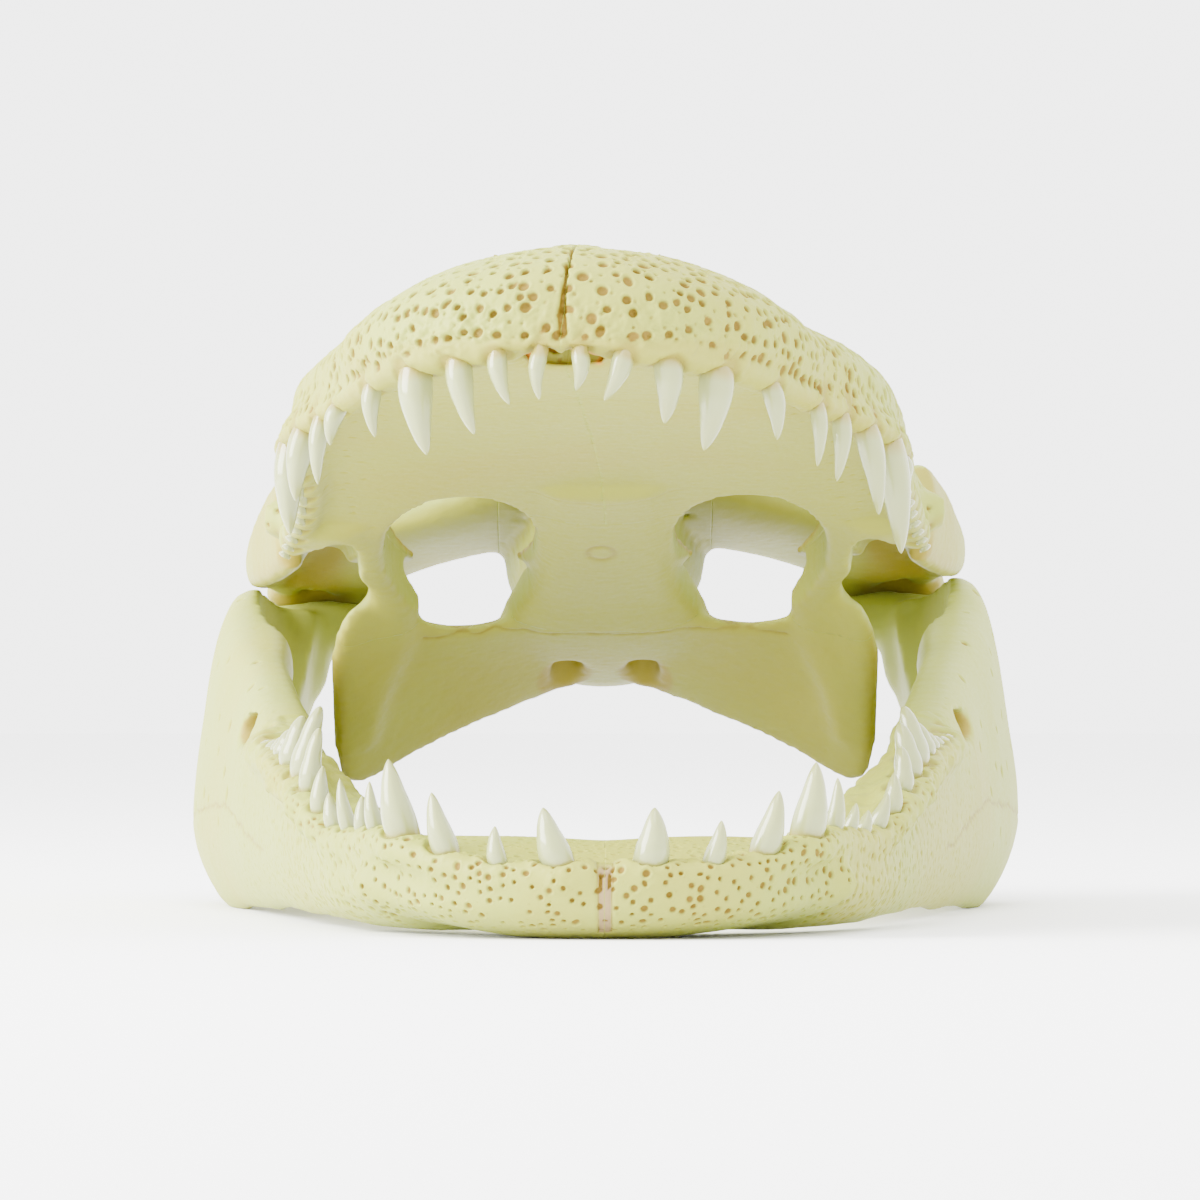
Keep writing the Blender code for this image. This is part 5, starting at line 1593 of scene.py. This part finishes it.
def build_teeth(kind, node, hand, chosen, material):
    """The teeth of one bone as one piece."""
    name = f"teeth_{node}"
    blunt_from, to_world = {
        "upper": (BLUNT_FROM_UPPER, to_world_cranium), "lower": (BLUNT_FROM_LOWER, to_world_jaw)}[kind]
    rows = tooth_rows(kind, hand)
    solids, along = [], []
    for index in chosen:
        base, tip, width = rows[index]
        bow = np.array((hand * SIDE_BOW[kind], FRONT_BOW, 0.0))
        seed = 31 * index + (7 if hand > 0 else 3)
        solid, share = crown(base, tip, width, index >= blunt_from, bow, seed)
        solids.append(solid)
        along.append(share)
    points, quads, tris = combined(solids)
    mesh = mesh_of(name, (to_world(points), quads, tris))
    keep_values(mesh, "along", np.concatenate(along))
    edited(mesh, lambda work: bmesh.ops.recalc_face_normals(work, faces=work.faces))
    mesh.shade_smooth()
    show(new_object(name, mesh), name, [node], material)


# Operators


class SKULL_OT_cranium(bpy.types.Operator):
    """Build the bones of the upper skull"""

    bl_idname = "skull.cranium"
    bl_label = "Cranium"

    def execute(self, context):
        scene = context.scene
        build_cranium(scene.skull_sizes, material_named("bleached bone", bone_material, scene.skull_colours))
        return {"FINISHED"}


class SKULL_OT_lower_jaw(bpy.types.Operator):
    """Build the bones of the lower jaw"""

    bl_idname = "skull.lower_jaw"
    bl_label = "Lower jaw"

    def execute(self, context):
        scene = context.scene
        build_jaw(scene.skull_sizes, material_named("bleached bone", bone_material, scene.skull_colours))
        return {"FINISHED"}


class SKULL_OT_upper_teeth(bpy.types.Operator):
    """Build the teeth of the upper jaw"""

    bl_idname = "skull.upper_teeth"
    bl_label = "Upper teeth"

    def execute(self, context):
        material = material_named("tooth enamel", enamel_material, context.scene.skull_colours)
        front = range(PREMAXILLA_TEETH)
        back = range(PREMAXILLA_TEETH, len(UPPER_TEETH))
        for side, hand in HANDS:
            for bone, chosen in (("premaxilla", front), ("maxilla", back)):
                build_teeth("upper", f"{bone}_{side}", hand, chosen, material)
        return {"FINISHED"}


class SKULL_OT_lower_teeth(bpy.types.Operator):
    """Build the teeth of the lower jaw"""

    bl_idname = "skull.lower_teeth"
    bl_label = "Lower teeth"

    def execute(self, context):
        material = material_named("tooth enamel", enamel_material, context.scene.skull_colours)
        for side, hand in HANDS:
            build_teeth("lower", f"dentary_{side}", hand, range(len(LOWER_TEETH)), material)
        return {"FINISHED"}


class SKULL_OT_stage(bpy.types.Operator):
    """Build the floor, the lights and the camera"""

    bl_idname = "skull.stage"
    bl_label = "Stage"

    def execute(self, context):
        look = context.scene.skull_stage
        floor_and_light(look)
        camera()
        return {"FINISHED"}


def floor_and_light(look):
    """A wide pale floor, an even sky and two large lamps."""
    corners = np.array([(-1, -1, 0), (1, -1, 0), (1, 1, 0), (-1, 1, 0)], float) * FLOOR_REACH
    mesh = mesh_of("floor", (corners, np.array([(0, 1, 2, 3)]), np.zeros((0, 3), int)))
    paint = Paint("floor")
    paint.set("Base Color", rgba(look.floor))
    paint.set("Roughness", 0.8)
    mesh.materials.append(paint.material)
    new_object("floor", mesh)
    world = bpy.data.worlds.new("sky")
    world.use_nodes = True
    sky = world.node_tree.nodes["Background"]
    sky.inputs["Color"].default_value = (1.0, 1.0, 1.0, 1.0)
    sky.inputs["Strength"].default_value = look.fill
    bpy.context.scene.world = world
    for name, (place, side, share) in LAMPS.items():
        lamp = bpy.data.lights.new(name, "AREA")
        lamp.energy = look.key * share
        lamp.size = side
        obj = new_object(name, lamp)
        obj.location = place
        obj.rotation_euler = (Vector(LAMP_AIM) - Vector(place)).to_track_quat("-Z", "Y").to_euler()


def camera():
    """The photographer's place: straight ahead of the snout, at the height of the open mouth."""
    lens = bpy.data.cameras.new("camera")
    lens.sensor_width = SENSOR_WIDTH
    lens.lens = FOCAL_LENGTH
    lens.shift_x, lens.shift_y = CAMERA_SHIFT
    obj = new_object("camera", lens)
    obj.location = CAMERA_PLACE
    obj.rotation_euler = (math.pi / 2, 0.0, 0.0)
    bpy.context.scene.camera = obj


class SKULL_PT_panel(bpy.types.Panel):
    """Lists what can be built"""

    bl_label = "Skull"
    bl_idname = "SKULL_PT_panel"
    bl_space_type = "VIEW_3D"
    bl_region_type = "UI"
    bl_category = "Skull"

    def draw(self, context):
        for group in (context.scene.skull_sizes, context.scene.skull_colours, context.scene.skull_stage):
            box = self.layout.box()
            for key in group.__annotations__:
                box.prop(group, key)
        for operator in OPERATORS:
            self.layout.operator(operator.bl_idname)


OPERATORS = (SKULL_OT_cranium, SKULL_OT_lower_jaw, SKULL_OT_upper_teeth, SKULL_OT_lower_teeth, SKULL_OT_stage)
CLASSES = (SkullSizes, SkullColours, StageLook) + OPERATORS + (SKULL_PT_panel,)


def register():
    """Tells Blender the classes and hangs the settings on the scene."""
    for each in CLASSES:
        bpy.utils.register_class(each)
    bpy.types.Scene.skull_sizes = PointerProperty(type=SkullSizes)
    bpy.types.Scene.skull_colours = PointerProperty(type=SkullColours)
    bpy.types.Scene.skull_stage = PointerProperty(type=StageLook)


def unregister():
    """Takes back what register did, in the opposite order."""
    del bpy.types.Scene.skull_stage
    del bpy.types.Scene.skull_colours
    del bpy.types.Scene.skull_sizes
    for each in reversed(CLASSES):
        bpy.utils.unregister_class(each)


def main():
    """Builds everything in order."""
    register()
    bpy.ops.skull.cranium()
    bpy.ops.skull.lower_jaw()
    bpy.ops.skull.upper_teeth()
    bpy.ops.skull.lower_teeth()
    bpy.ops.skull.stage()


if __name__ == "__main__":
    main()
